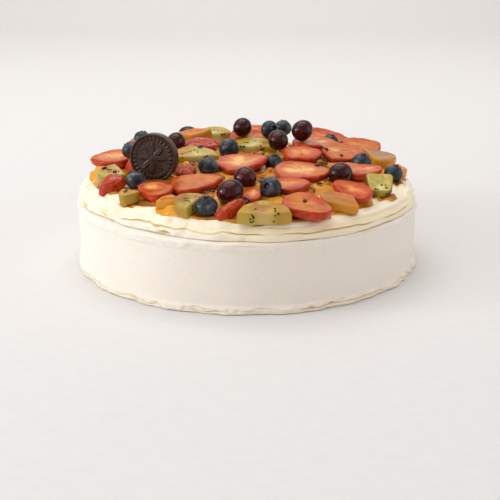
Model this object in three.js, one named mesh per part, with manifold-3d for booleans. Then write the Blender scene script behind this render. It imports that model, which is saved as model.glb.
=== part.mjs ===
// A fruit pavlova, 254 mm across its foot: a tall round meringue, a layer of
// whipped cream on it, and on the cream sliced strawberries, kiwi and golden
// fruit, loose blueberries and grapes, and one moulded chocolate disc on edge.
//
// Millimetres, +Z up. The origin is the middle of the meringue's underside.

import * as THREE from 'three';
import { mergeVertices } from 'three/addons/utils/BufferGeometryUtils.js';
import Module from 'manifold-3d';

const wasm = await Module();
wasm.setup();

// ---------------------------------------------------------------- sizes

const MERINGUE = {
  radius: 125,        // the straight wall
  height: 48.4,
  footRadius: 127,    // the flaky crust that spread on the baking sheet
  footHeight: 6,
  bandHeight: 5,      // the pale lip of crust under the cream
  bandProud: 0.6,
  columns: 76,
};

const CREAM = {
  edgeRadius: 124.2,  // the widest part of the spread edge
  rimHeight: 10.6,    // from its underside to the shoulder
  dome: 7.0,          // how much higher it stands in the middle
  shoulderWidth: 7,   // the rounded edge, from the flat top to the widest part
  shoulderDrop: 5,
  inset: 6.5,         // how far it stays back from the wall at the front left
  insetAt: -127,      // in degrees from +X, and half the width of that stretch
  insetSpread: 28,
  columns: 80,
};

const DISC = {
  radius: 17.3,
  thickness: 8,
  rim: 2.4,           // the raised border
  recess: 0.9,        // the field lies this much below the border
};

const REST_GAP = 0.35;      // daylight between a piece and what it lies on

// Everything on the cream, in the order it is laid. at is the place over the
// cream. turn is the heading of a cut piece's long axis from +X. lean is its
// slopes: a positive first number lifts the far edge, a positive second lowers
// the edge towards +X. size is length, width and thickness. A berry has its
// width and height instead, and the way its crown or stalk scar looks.
const TOPPINGS = [
  // berries, a thin slice and the chocolate disc, down on the cream
  ['strawberry_front_small', 'slice', [4, -77], 84, [8, 0], [21, 12, 5]],
  ['blueberry_front', 'blueberry', [-26, -105], [15.0, 13.2], [0.1, -0.3, 1]],
  ['blueberry_front_crown', 'blueberry', [15, -75], [15.0, 13.4], [-0.5, -1, 0.45]],
  ['blueberry_left', 'blueberry', [-78, -46], [14.2, 12.6], [-0.4, 0.2, 1]],
  ['blueberry_right', 'blueberry', [107, -17], [14.2, 12.6], [0.4, -0.1, 1]],
  ['blueberry_sunk', 'blueberry', [86, 6], [15.2, 12.8], [0.3, -0.2, 1]],
  ['blueberry_centre', 'blueberry', [20, -6], [14.0, 12.2], [0.2, -0.2, 1]],
  ['blueberry_middle', 'blueberry', [-28, -21], [15.2, 13.4], [0.5, 0.4, 1]],
  ['grape_front', 'grape', [-11, -88], [17.0, 19.0], [0.7, 0.5, 0.4]],
  ['grape_middle', 'grape', [-1, -55], [15.6, 17.2], [-0.6, 0.7, 0.3]],
  ['grape_right', 'grape', [66, -39], [16.0, 17.6], [1, 0.3, 0.3]],
  ['grape_back_left', 'grape', [-49, 99], [18.0, 19.8], [-0.9, 0.3, 0.5]],
  ['blueberry_small', 'blueberry', [68, 83], [14.8, 13.8], [0.1, 0.1, 1]],
  ['chocolate_disc', 'disc', [-66, -31], -20, [-4, 0], []],
  // cut fruit against the cream, round the front
  ['strawberry_front_wedge', 'wedge', [-12, -107], 34, [24, -16], [24, 9, 7]],
  ['kiwi_front', 'halfMoon', [11, -111], 2, [12, 0], [34, 19, 9.5]],
  ['kiwi_front_left', 'halfMoon', [-38, -97], 62, [8, 0], [24, 17, 9]],
  ['kiwi_left', 'halfMoon', [-80, -73], 145, [6, -6], [15, 12, 8]],
  ['kiwi_far_left', 'halfMoon', [-99, -22], 112, [6, -6], [30, 20, 8]],
  ['strawberry_front', 'slice', [37, -104], -34, [12, 4], [35, 28, 9]],
  ['golden_front', 'lozenge', [60, -87], -42, [11, 6], [30, 20, 7]],
  ['kiwi_right', 'halfMoon', [90, -51], 8, [30, 8], [25, 20, 7]],
  ['golden_right', 'lozenge', [112, 1], 80, [0, 6], [22, 14, 7]],
  ['strawberry_left_heel', 'heel', [-90, -45], 226, [26, -14], [22, 16, 8]],
  ['strawberry_left_tip', 'slice', [-103, 26], 176, [8, -4], [34, 29, 9]],
  // round the back
  ['strawberry_back_left', 'heel', [-84, 68], 128, [4, -4], [38, 30, 14]],
  ['golden_back', 'lozenge', [-45, 84], 14, [10, -3], [31, 18, 13]],
  ['kiwi_back', 'halfMoon', [-27, 104], 6, [8, 0], [27, 22, 12]],
  ['strawberry_back', 'slice', [9, 104], 4, [8, 0], [46, 28, 12]],
  ['strawberry_back_right', 'slice', [66, 99], -28, [14, 3], [44, 26, 9]],
  ['golden_far_right', 'halfMoon', [104, 31], -74, [6, 6], [34, 23, 9]],
  ['strawberry_far_right', 'slice', [90, 66], 150, [14, 4], [34, 28, 8]],
  // in the middle
  ['strawberry_left_middle', 'slice', [-63, -71], 142, [12, -4], [27, 19, 8.5]],
  ['strawberry_front_flat', 'slice', [29, -64], 12, [6, 0], [25, 23, 7]],
  ['strawberry_centre', 'slice', [-1, -7], 8, [5, 0], [37, 35, 8]],
  ['strawberry_left_skin', 'heel', [-74, 6], 22, [4, 0], [34, 32, 10]],
  ['kiwi_middle_left', 'halfMoon', [-42, 25], 10, [7, 0], [38, 28, 8]],
  ['kiwi_middle', 'halfMoon', [5, 53], -4, [7, 0], [38, 26, 9]],
  ['strawberry_middle_right', 'slice', [81, -20], 18, [6, 4], [34, 28, 8]],
  ['strawberry_right_long', 'slice', [40, -32], 2, [9, 3], [41, 34, 8]],
  ['strawberry_back_middle', 'slice', [54, 64], -22, [7, 0], [37, 31, 10]],
  ['strawberry_cross_cut', 'crossCut', [41, 21], 20, [11, 0], [31, 31, 8]],
  ['strawberry_right_middle', 'slice', [73, 30], 0, [12, 4], [35, 35, 8]],
  ['strawberry_front_long', 'slice', [-37, -61], 20, [9, -4], [38, 28, 8]],
  ['golden_front_left', 'lozenge', [-50, -89], -20, [8, 0], [15, 11, 7]],
  ['strawberry_right_front', 'slice', [75, -67], 146, [12, 6], [30, 21, 7.5]],
  ['strawberry_skin_strip', 'heel', [-44, -24], 72, [8, -2], [21, 15, 8]],
  ['strawberry_back_skin', 'heel', [-36, 60], -6, [10, 0], [38, 28, 10]],
  ['strawberry_back_strip', 'slice', [4, 80], 10, [8, 0], [38, 26, 7.5]],
  // berries on and between the fruit
  ['blueberry_far_left', 'blueberry', [-87, 10], [13.4, 11.8], [-0.5, 0.3, 1]],
  ['blueberry_back_left', 'blueberry', [-83, 51], [13.6, 12.0], [0.3, 0.6, 1]],
  ['blueberry_back_middle', 'blueberry', [-13, 36], [16.4, 15.0], [-0.8, 0.1, 0.6]],
  ['blueberry_back', 'blueberry', [18, 74], [14.8, 13.0], [0.6, -0.8, 0.3]],
  ['blueberry_far_back', 'blueberry', [29, 96], [14.4, 12.8], [0.2, 0.4, 1]],
  ['grape_centre_back', 'grape', [24, 37], [15.4, 16.8], [-0.5, 0.8, 0.5]],
  ['grape_back_right', 'grape', [44, 62], [16.2, 17.8], [0.8, 0.4, 0.6]],
  ['grape_back', 'grape', [-4, 76], [15.2, 16.8], [0.3, 1, 0.4]],
  ['grape_beside_disc', 'grape', [-55, 49], [14.8, 16.2], [0.4, 0.9, 0.5]],
];

// ---------------------------------------------------------------- finishes

const finish = (color, roughness) =>
  new THREE.MeshStandardMaterial({ color, roughness, metalness: 0 });

const BAKED_MERINGUE = finish('#f2ebe2', 0.85);
const WHIPPED_CREAM = finish('#f7edd4', 0.55);
const DARK_CHOCOLATE = finish('#2f2622', 0.5);
const BLUEBERRY_SKIN = finish('#39424f', 0.6);
const GRAPE_SKIN = finish('#3a1f22', 0.25);
const CUT_FRUIT = {
  strawberry: finish('#d4533c', 0.3),
  kiwi: finish('#a9a14d', 0.3),
  golden: finish('#e0a040', 0.3),
};

// ---------------------------------------------------------------- shaping

const radians = THREE.MathUtils.degToRad;
const smooth = THREE.MathUtils.smoothstep;

// Uneven handwork round a circle: three slow sines whose phases come from a
// seed. It runs from about -1 to 1.
const wander = (angle, seed, lobes = 3) =>
  0.5 * Math.sin(lobes * angle + 1.7 * seed)
  + 0.3 * Math.sin((2 * lobes - 1) * angle + 2.9 * seed + 1)
  + 0.2 * Math.sin((3 * lobes + 2) * angle + 4.3 * seed + 2);

const WELD_DISTANCE = 1e-4;

// Joins a lathe's seam and poles, and drops the triangles that this flattens.
function weld(geometry) {
  geometry.deleteAttribute('normal');
  geometry.deleteAttribute('uv');
  const welded = mergeVertices(geometry, WELD_DISTANCE);
  const index = welded.index.array;
  const kept = [];
  for (let i = 0; i < index.length; i += 3) {
    const [a, b, c] = [index[i], index[i + 1], index[i + 2]];
    if (a !== b && b !== c && c !== a) kept.push(a, b, c);
  }
  welded.setIndex(kept);
  return welded;
}

// Turns a profile of [radius, height] pairs, from the bottom of the axis to its
// top, into a closed body round +Z.
function turned(profile, columns) {
  const points = profile.map(([r, z]) => new THREE.Vector2(r, z));
  return weld(new THREE.LatheGeometry(points, columns).rotateX(Math.PI / 2));
}

// Moves every vertex to where shape(radius, angle, height) puts it.
function reshape(geometry, shape) {
  const place = geometry.attributes.position;
  for (let i = 0; i < place.count; i++) {
    const [x, y, z] = [place.getX(i), place.getY(i), place.getZ(i)];
    place.setXYZ(i, ...shape(Math.hypot(x, y), Math.atan2(y, x), z));
  }
  return geometry;
}

const polar = (r, angle, z) => [r * Math.cos(angle), r * Math.sin(angle), z];

// ---------------------------------------------------------------- meringue

// A straight wall with slow waves, a ragged crust at the foot that stands out
// in flakes, and a thin uneven lip of crust under the cream.
function meringue() {
  const { radius, height, footRadius, footHeight, bandHeight, bandProud } = MERINGUE;
  const bandBottom = height - bandHeight;
  const profile = [
    [0, 0], [radius * 0.6, 0], [footRadius - 1.5, 0], [footRadius, 1.4],
    [footRadius - 0.3, footHeight * 0.55], [radius, footHeight],
    [radius, height * 0.35], [radius, height * 0.62], [radius, bandBottom - 1],
    [radius + bandProud, bandBottom + 0.8], [radius + bandProud, height - 1.4],
    [radius - 1, height], [radius * 0.6, height], [0, height],
  ];
  return reshape(turned(profile, MERINGUE.columns), (r, angle, z) => {
    if (r < radius * 0.7) return polar(r, angle, z);
    const flakes = 1.1 * wander(angle, 3, 17) * (1 - smooth(z, footHeight * 0.6, footHeight));
    const waves = 0.5 * wander(angle, 5, 4) + 0.25 * wander(angle + z * 0.03, 8, 9);
    const bumps = 0.7 * wander(angle, 6, 13) * smooth(z, bandBottom - 1, bandBottom + 1);
    return polar(r + waves + flakes + bumps, angle, z);
  });
}

// ---------------------------------------------------------------- cream

// Height of the cream's top above its underside, before the knife marks.
function creamHeight(r) {
  const { rimHeight, dome, edgeRadius, shoulderWidth, shoulderDrop } = CREAM;
  const inner = dome * (1 - Math.min(1, r / (edgeRadius - shoulderWidth)) ** 3);
  const shoulder = shoulderDrop * smooth(r, edgeRadius - shoulderWidth, edgeRadius) ** 2;
  return rimHeight + inner - shoulder;
}

// Cream spread with a palette knife: flat underneath, with an uneven lobed
// edge, kept back from the wall at the front left, and long shallow ridges
// round the margin.
function cream() {
  const { edgeRadius, inset, insetAt, insetSpread, columns } = CREAM;
  const under = MERINGUE.height + REST_GAP;
  const edge = edgeRadius;
  const top = (r) => [r, under + creamHeight(r)];
  const profile = [
    [0, under], [edge - 40, under], [edge - 3.5, under], [edge - 0.8, under + 1.6],
    [edge, under + 3.2], top(edge - 0.2), top(edge - 1.5), top(edge - 3), top(edge - 5),
    top(edge - 8), top(edge - 12), top(edge - 17), top(edge - 24), top(edge - 36),
    top(edge - 58), top(edge - 88), top(0),
  ];
  return reshape(turned(profile, columns), (r, angle, z) => {
    const rise = z - under;
    const left = 0.5 - 0.5 * Math.cos(angle);
    const margin = smooth(r, edge - 30, edge - 12);
    const lobes = (0.6 + 1.2 * left) * wander(angle, 2, 7) * smooth(r, edge - 24, edge - 4);
    const bare = ((THREE.MathUtils.radToDeg(angle) - insetAt) / insetSpread) ** 2;
    const back = inset * Math.exp(-bare) * smooth(r, edge - 40, edge - 4);
    const lumps = (0.4 + 1.0 * left) * wander(angle + r * 0.05, 4, 11);
    const ridges = 0.45 * Math.sin(r * 1.05 + 2.2 * angle) * (1 - 0.6 * left);
    const lifted = rise > 3 ? margin * (lumps + ridges) : 0;
    return polar(r + lobes - back, angle, z + lifted);
  });
}

// ---------------------------------------------------------------- fruit

// A piece cut from a fruit is a low turned body whose radius of 1 is carried
// out to an outline. Profiles give [share of the outline, height] for one
// thickness.
const SKIN_UNDER = (t) => [
  [0, -t / 2], [0.7, -0.44 * t], [0.95, -0.04 * t], [1, 0.36 * t], [0.93, t / 2], [0, 0.42 * t],
];
const CUT_BOTH_SIDES = (t) => [
  [0, -t / 2], [0.9, -t / 2], [1, -0.34 * t], [1, 0.34 * t], [0.92, t / 2], [0, 0.44 * t],
];
const SKIN_OVER = (t) => [
  [0, -t / 2], [0.94, -t / 2], [1, -0.3 * t], [0.84, 0.18 * t], [0.5, 0.42 * t], [0, t / 2],
];

// Outlines give a point for an angle, as shares of half the length and width.
// Lengthwise through a strawberry: blunt at the shoulder, drawn in to the tip.
function berryOutline(angle) {
  const along = Math.cos(angle);
  const fullness = Math.sqrt(1 - Math.abs(along) ** (along < 0 ? 2.8 : 1.9));
  return [along, Math.sign(Math.sin(angle)) * fullness * (1 - 0.26 * along)];
}

// Across a strawberry: round with soft lobes.
function lobedOutline(angle) {
  const reach = 0.95 + 0.05 * Math.cos(5 * angle) + 0.03 * Math.cos(3 * angle + 1);
  return [reach * Math.cos(angle), reach * Math.sin(angle)];
}

// Half a round slice: an arc, and one straight cut towards -Y.
function halfMoonOutline(angle) {
  const [x, y] = [Math.cos(angle), Math.sin(angle)];
  return y > 0 ? [x, 1.8 * y - 0.9] : [Math.sign(x) * Math.abs(x) ** 0.6, 0.1 * y - 0.9];
}

// A slanted block with blunt corners.
function lozengeOutline(angle) {
  const [x, y] = [Math.cos(angle), Math.sin(angle)];
  const reach = (Math.abs(x) ** 1.5 + Math.abs(y) ** 1.5) ** (-1 / 1.5);
  return [reach * (x + 0.15 * y), reach * y];
}

const CUTS = {
  slice: { outline: berryOutline, profile: SKIN_UNDER },
  heel: { outline: berryOutline, profile: SKIN_OVER },
  wedge: { outline: berryOutline, profile: SKIN_OVER },
  crossCut: { outline: lobedOutline, profile: SKIN_UNDER },
  halfMoon: { outline: halfMoonOutline, profile: CUT_BOTH_SIDES },
  lozenge: { outline: lozengeOutline, profile: CUT_BOTH_SIDES },
};
const PIECE_COLUMNS = 14;

function cutFruit(kind, [length, width, thickness], seed) {
  const curl = 0.06 * thickness * wander(seed, seed);
  const { outline, profile } = CUTS[kind];
  return reshape(turned(profile(thickness), PIECE_COLUMNS), (share, angle, z) => {
    const [x, y] = outline(angle);
    const uneven = 1 + 0.04 * wander(angle, seed, 2);
    const along = share * x * uneven;
    return [along * length / 2, share * y * uneven * width / 2, z + curl * (along ** 2 - 0.4) * 2];
  });
}

// A blueberry: a flattened ball with a five-pointed crown round a small pit.
function blueberry(width, height) {
  const [r, h] = [width / 2, height / 2];
  const profile = [
    [0, -h], [0.55 * r, -0.84 * h], [0.9 * r, -0.42 * h], [r, 0.08 * h], [0.86 * r, 0.55 * h],
    [0.52 * r, 0.9 * h], [0.36 * r, h], [0.24 * r, 0.86 * h], [0, 0.74 * h],
  ];
  return reshape(turned(profile, 10), (radius, angle, z) => {
    const crown = z > 0.8 * h && radius > 0.3 * r ? 0.1 * Math.cos(5 * angle) : 0;
    return polar(radius * (1 + crown), angle, z);
  });
}

// A grape: an egg-shaped ball with a shallow scar where the stalk was.
function grape(width, height) {
  const [r, h] = [width / 2, height / 2];
  const profile = [
    [0, -h], [0.56 * r, -0.82 * h], [0.93 * r, -0.36 * h], [0.99 * r, 0.16 * h],
    [0.72 * r, 0.7 * h], [0.24 * r, 0.97 * h], [0, 0.92 * h],
  ];
  return turned(profile, 12);
}

// ---------------------------------------------------------------- chocolate

// Chocolate set in a mould: a raised border and, in the field, a six-petalled
// rosette inside a thin ring of petals' own height.
function chocolateDisc() {
  const { radius, thickness, rim, recess } = DISC;
  const half = thickness / 2;
  const field = half - recess;
  const profile = [
    [0, -half], [radius - 0.8, -half], [radius, -half + 0.8], [radius, half - 0.7],
    [radius - 0.7, half], [radius - rim, half], [radius - rim - 0.4, field], [0, field],
  ];
  const petals = 6;
  const rosette = new THREE.Shape(Array.from({ length: petals * 6 }, (_, i) => {
    const angle = (i / (petals * 6)) * 2 * Math.PI;
    const reach = (radius - rim) * (0.5 + 0.24 * Math.cos(petals * angle));
    return new THREE.Vector2(reach * Math.cos(angle), reach * Math.sin(angle));
  }));
  const raised = new THREE.ExtrudeGeometry(rosette, { depth: recess + 0.4, bevelEnabled: false });
  raised.translate(0, 0, field - 0.5);
  return fromSolid(toSolid(turned(profile, 36)).add(toSolid(weld(raised))));
}

// ---------------------------------------------------------------- laying

function toSolid(geometry) {
  return new wasm.Manifold(new wasm.Mesh({
    numProp: 3,
    vertProperties: Float32Array.from(geometry.attributes.position.array),
    triVerts: Uint32Array.from(geometry.index.array),
  }));
}

function fromSolid(solid) {
  const { vertProperties, triVerts } = solid.getMesh();
  const geometry = new THREE.BufferGeometry();
  geometry.setAttribute('position', new THREE.BufferAttribute(vertProperties, 3));
  geometry.setIndex(new THREE.BufferAttribute(triVerts, 1));
  return geometry;
}

const pavlova = new THREE.Group();
const laid = [];

function add(name, geometry, material, place = new THREE.Matrix4()) {
  const mesh = new THREE.Mesh(geometry, material);
  mesh.name = name;
  mesh.applyMatrix4(place);
  pavlova.add(mesh);
  laid.push(toSolid(geometry.clone().applyMatrix4(place)));
}

const crossesInPlan = (a, b) =>
  a.min[0] < b.max[0] && b.min[0] < a.max[0] && a.min[1] < b.max[1] && b.min[1] < a.max[1];

const CLEAR_ABOVE = 140;    // a height at which nothing is in the way
const TOUCH_VOLUME = 1e-6;  // two solids that share more than this touch

// The height at which a solid, let straight down, first touches what lies
// there already. It halves the range of heights until that is close enough.
function restingHeight(solid, nearness) {
  let [low, high] = [0, CLEAR_ABOVE];
  const box = solid.boundingBox();
  const below = laid.filter((other) => crossesInPlan(box, other.boundingBox()));
  const blocked = (height) => {
    const moved = solid.translate([0, 0, height]);
    return below.some((other) => moved.intersect(other).volume() > TOUCH_VOLUME);
  };
  while (high - low > nearness) {
    const middle = (low + high) / 2;
    if (blocked(middle)) low = middle;
    else high = middle;
  }
  return high;
}

const turning = (aboutX, aboutY, order) => new THREE.Matrix4().makeRotationFromEuler(
  new THREE.Euler(radians(aboutX), radians(aboutY), 0, order));

// Turns a piece about its own upright axis, leans it and puts it over its place.
const posing = ([x, y], turn, [leanX, leanY]) => new THREE.Matrix4()
  .makeTranslation(x, y, 0)
  .multiply(turning(leanX, leanY, 'XYZ'))
  .multiply(new THREE.Matrix4().makeRotationZ(radians(turn)));

// Points a berry's crown along a direction and puts it over its place.
function posingBerry([x, y], crown) {
  const up = new THREE.Vector3(0, 0, 1);
  const aim = new THREE.Quaternion().setFromUnitVectors(up, new THREE.Vector3(...crown).normalize());
  return new THREE.Matrix4().makeRotationFromQuaternion(aim).setPosition(x, y, 0);
}

// A piece settles: from the place and lean it is given it tries small slides
// and tips, ever finer, and keeps each one that lets it lie lower. stiffness
// is what a slide of 1 mm or a tip of 1 degree, squared, costs in millimetres.
// settle gives the piece's final place: its pose, tipped about its middle and
// let down.
const SLIDE_STEPS = [2.4, 1.2, 0.6];
const TIP_STEPS = [6, 3, 1.5];
const TRIES = 5;            // rounds of moves with one size of step
const WORTHWHILE = 0.01;    // a move has to lower the piece by more than this
const ROUGHLY = 0.06;       // how near a height is found while it tries
const CLOSELY = 0.02;       // and where it comes to rest

function settle(geometry, posing, { slide, tip }) {
  const solid = toSolid(geometry.clone().applyMatrix4(posing));
  const pivot = solid.boundingBox();
  const centre = [0, 1].map((k) => (pivot.min[k] + pivot.max[k]) / 2);
  const posed = ([dx, dy, tipX, tipY]) => solid
    .translate([-centre[0], -centre[1], 0])
    .rotate([tipX, tipY, 0])
    .translate([centre[0] + dx, centre[1] + dy, 0]);
  const square = (a, b) => a * a + b * b;
  const cost = ([dx, dy, tipX, tipY]) => restingHeight(posed([dx, dy, tipX, tipY]), ROUGHLY)
    + slide * square(dx, dy) + (tip === Infinity ? 0 : tip * square(tipX, tipY));
  let best = [0, 0, 0, 0];
  let least = cost(best);
  for (let round = 0; round < SLIDE_STEPS.length; round++) {
    const steps = [SLIDE_STEPS[round], SLIDE_STEPS[round], TIP_STEPS[round], TIP_STEPS[round]];
    for (let tries = 0, moved = true; moved && tries < TRIES; tries++) {
      moved = false;
      for (let k = 0; k < 4; k++) {
        if ((k < 2 ? slide : tip) === Infinity) continue;
        for (const sign of [-1, 1]) {
          const move = best.with(k, best[k] + sign * steps[k]);
          const tried = cost(move);
          if (tried < least - WORTHWHILE) [best, least, moved] = [move, tried, true];
        }
      }
    }
  }
  const [dx, dy, tipX, tipY] = best;
  const height = restingHeight(posed(best), CLOSELY) + REST_GAP;
  return new THREE.Matrix4()
    .makeTranslation(centre[0] + dx, centre[1] + dy, height)
    .multiply(turning(tipX, tipY, 'ZYX'))
    .multiply(new THREE.Matrix4().makeTranslation(-centre[0], -centre[1], 0))
    .multiply(posing);
}

const CUT_FRUIT_HOLD = { slide: 0.06, tip: 0.025 };
const BERRY_HOLD = { slide: 0.6, tip: Infinity };
const DISC_HOLD = { slide: 0.2, tip: Infinity };

function topping([name, kind, at, ...rest], seed) {
  if (kind === 'blueberry' || kind === 'grape') {
    const [[width, height], crown] = rest;
    const [berry, material] = kind === 'grape'
      ? [grape(width, height), GRAPE_SKIN] : [blueberry(width, height), BLUEBERRY_SKIN];
    return { geometry: berry, place: posingBerry(at, crown), hold: BERRY_HOLD, material };
  }
  const [turn, lean, size] = rest;
  if (kind === 'disc') {
    const geometry = chocolateDisc().rotateX(radians(90 + lean[0]));
    return { geometry, place: posing(at, turn, [0, 0]), hold: DISC_HOLD, material: DARK_CHOCOLATE };
  }
  const material = CUT_FRUIT[name.split('_')[0]];
  const geometry = cutFruit(kind, size, seed);
  return { geometry, place: posing(at, turn, lean), hold: CUT_FRUIT_HOLD, material };
}

add('meringue', meringue(), BAKED_MERINGUE);
add('cream', cream(), WHIPPED_CREAM);

TOPPINGS.forEach((row, i) => {
  const { geometry, place, hold, material } = topping(row, i + 1);
  add(row[0], geometry, material, settle(geometry, place, hold));
});

// The foot's flakes are uneven, so the whole is centred on its own footprint.
const middle = new THREE.Box3().setFromObject(pavlova).getCenter(new THREE.Vector3());
pavlova.position.set(-middle.x, -middle.y, 0);
pavlova.updateMatrixWorld(true);

export default pavlova;
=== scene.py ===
"""A fruit pavlova: a tall baked meringue under spread cream, with cut fruit, berries and
passion fruit pulp on top. Lengths are millimetres until a mesh is made."""
import math

import bpy
import numpy as np
from mathutils import Matrix, Vector


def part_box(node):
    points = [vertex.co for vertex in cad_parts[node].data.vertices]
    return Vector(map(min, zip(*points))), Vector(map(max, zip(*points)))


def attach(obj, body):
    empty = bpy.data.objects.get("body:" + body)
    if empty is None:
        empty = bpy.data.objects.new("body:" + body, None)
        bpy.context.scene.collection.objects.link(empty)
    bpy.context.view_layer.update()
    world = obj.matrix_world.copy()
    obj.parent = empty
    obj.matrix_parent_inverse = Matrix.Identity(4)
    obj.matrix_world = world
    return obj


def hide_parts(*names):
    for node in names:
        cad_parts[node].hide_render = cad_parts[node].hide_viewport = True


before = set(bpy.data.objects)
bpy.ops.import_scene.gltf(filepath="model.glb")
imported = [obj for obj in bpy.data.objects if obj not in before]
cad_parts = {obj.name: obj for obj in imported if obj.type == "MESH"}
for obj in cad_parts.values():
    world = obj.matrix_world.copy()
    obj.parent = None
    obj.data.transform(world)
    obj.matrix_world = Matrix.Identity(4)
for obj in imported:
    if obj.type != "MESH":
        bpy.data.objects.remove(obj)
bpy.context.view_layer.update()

# ---------------------------------------------------------------------------
# The view, the lamps and the paper sweep.
# The cake stands on a pale seamless paper that rises behind it. A broad soft
# lamp stands at the left and a wide one hangs overhead, as on a food set.

MM = 0.001


def linear(code):
    """An sRGB hex colour as linear RGBA: a channel c becomes ((c + 0.055) / 1.055) ** 2.4,
    or c / 12.92 where it is very dark."""
    c = np.array([int(code[i:i + 2], 16) for i in (1, 3, 5)]) / 255
    return (*np.where(c <= 0.04045, c / 12.92, ((c + 0.055) / 1.055) ** 2.4), 1.0)


def add(tree, kind, inputs=None, stops=None, **settings):
    """Adds one shader node. Settings are its own properties, inputs gives a socket its value
    or links another node's output to it, and stops are a colour ramp's places and colours."""
    node = tree.nodes.new("ShaderNode" + kind)
    for name, value in settings.items():
        setattr(node, name, value)
    for socket, value in (inputs or {}).items():
        if isinstance(value, bpy.types.NodeSocket):
            tree.links.new(value, node.inputs[socket])
        else:
            node.inputs[socket].default_value = value
    if stops:
        # A new ramp already has two stops, which become the first and the last.
        ramp = node.color_ramp.elements
        for i, (place, colour) in enumerate([stops[0], stops[-1], *stops[1:-1]]):
            stop = ramp[i] if i < 2 else ramp.new(place)
            stop.position, stop.color = place, linear(colour)
    return node


def material(name):
    """A new material with an empty node tree, which it returns too."""
    made = bpy.data.materials.new(name)
    made.use_nodes = True
    made.node_tree.nodes.clear()
    return made, made.node_tree


def made_of(name, points, faces, finish):
    """A new smooth-shaded object in the scene, of points in millimetres and lists of their
    numbers as faces, in one material."""
    mesh = bpy.data.meshes.new(name)
    mesh.from_pydata((points * MM).tolist(), [], faces)
    mesh.polygons.foreach_set("use_smooth", np.ones(len(mesh.polygons), bool))
    mesh.materials.append(finish)
    piece = bpy.data.objects.new(name, mesh)
    bpy.context.scene.collection.objects.link(piece)
    return piece


AIM = Vector((2.43, 0, 2.57)) * MM
DISTANCE = 769.5 * MM
ELEVATION = math.radians(18.46)
FOCAL_LENGTH, SENSOR_WIDTH = 72.2, 36

lens = bpy.data.cameras.new("view")
lens.lens, lens.sensor_width = FOCAL_LENGTH, SENSOR_WIDTH
lens.clip_start, lens.clip_end = 0.01, 20
camera = bpy.data.objects.new("view", lens)
back = Vector((0, -math.cos(ELEVATION), math.sin(ELEVATION)))
camera.location = AIM + back * DISTANCE
camera.rotation_euler = (-back).to_track_quat("-Z", "Y").to_euler()
bpy.context.scene.collection.objects.link(camera)
bpy.context.scene.camera = camera
bpy.context.scene.view_settings.view_transform = "Standard"

LAMPS = [
    # name, then in metres its place, what it is turned to and its size, then watts and colour
    ("left_softbox", (-1.42, -0.75, 0.72), (0, 0, 0.04), 1.3, 9.0, "#fbfcff"),
    ("left_window", (-1.62, -0.3, 0.52), (0, 0, 0.05), 0.36, 6.5, "#fbfcff"),
    ("overhead_softbox", (-0.25, 0.25, 1.7), (0, 0.05, 0.05), 1.9, 14.5, "#fffcfa"),
    ("right_reflector", (1.45, -0.3, 0.5), (0, 0, 0.05), 1.2, 3.8, "#f6f6ff"),
    ("backdrop_softbox", (0.0, 0.9, 1.9), (0, 2.5, 0.5), 1.5, 14.5, "#fffdfb"),
]
for name, place, target, size, watts, colour in LAMPS:
    light = bpy.data.lights.new(name, "AREA")
    light.shape, light.size, light.energy = "SQUARE", size, watts
    light.color = linear(colour)[:3]
    lamp = bpy.data.objects.new(name, light)
    lamp.location = place
    aim = Vector(target) - Vector(place)
    lamp.rotation_euler = aim.to_track_quat("-Z", "Y").to_euler()
    bpy.context.scene.collection.objects.link(lamp)

# The room behind the view is warmer and dimmer than the paper behind the cake.
world = bpy.data.worlds.new("studio_air")
world.use_nodes = True
world.node_tree.nodes.clear()
toward = add(world.node_tree, "TexCoord")
axes = add(world.node_tree, "SeparateXYZ", {0: toward.outputs["Generated"]})
depth = add(world.node_tree, "MapRange", {"Value": axes.outputs["Y"], "From Min": -0.5,
                                          "From Max": 0.5})
room = add(world.node_tree, "ValToRGB", {"Fac": depth.outputs[0]},
           stops=[(0.0, "#b8b2ad"), (1.0, "#d2d1d0")])
air = add(world.node_tree, "Background", {"Color": room.outputs["Color"], "Strength": 1.04})
add(world.node_tree, "OutputWorld", {"Surface": air.outputs[0]})
bpy.context.scene.world = world

PAPER_GRAIN = 1.11
paper, tree = material("matt_background_paper")
# Uncoated paper off a roll: dead matt and all but even in tone.
grain = add(tree, "TexNoise", {"Scale": 1 / (PAPER_GRAIN * MM), "Detail": 2.0})
tone = add(tree, "ValToRGB", {"Fac": grain.outputs["Fac"]},
           stops=[(0.3, "#dcdbda"), (0.7, "#dfdedd")])
coat = add(tree, "BsdfPrincipled", {"Base Color": tone.outputs["Color"], "Roughness": 0.9})
add(tree, "OutputMaterial", {"Surface": coat.outputs[0]})

# The sweep: flat under the cake, then a quarter turn of SWEEP_BEND, then upright.
SWEEP_HALF_WIDTH, SWEEP_FRONT, SWEEP_BACK = 4000, -3000, 1500
SWEEP_BEND, SWEEP_HEIGHT = 900, 3500
FLAT_ROWS, BEND_ROWS = 12, 16

bend = np.linspace(0.1, math.pi / 2, BEND_ROWS)
along = np.concatenate([np.linspace(SWEEP_FRONT, SWEEP_BACK, FLAT_ROWS),
                        SWEEP_BACK + SWEEP_BEND * np.sin(bend), [SWEEP_BACK + SWEEP_BEND]])
up = np.concatenate([np.zeros(FLAT_ROWS), SWEEP_BEND * (1 - np.cos(bend)), [SWEEP_HEIGHT]])
sides = np.array([-SWEEP_HALF_WIDTH, SWEEP_HALF_WIDTH])
strip = np.stack(np.broadcast_arrays(sides, along[:, None], up[:, None]), -1).reshape(-1, 3)
step = 2 * np.arange(len(along) - 1)[:, None]
sweep = made_of("paper_sweep", strip, (step + [[0, 1, 3, 2]]).tolist(), paper)

# ---------------------------------------------------------------------------
# The meringue.
# Whisked egg white and sugar, baked slowly in a deep ring: a dry, matt, almost
# white drum. It spread at the foot into thin flakes, and a lip of crust cracked
# round its top.

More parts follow.
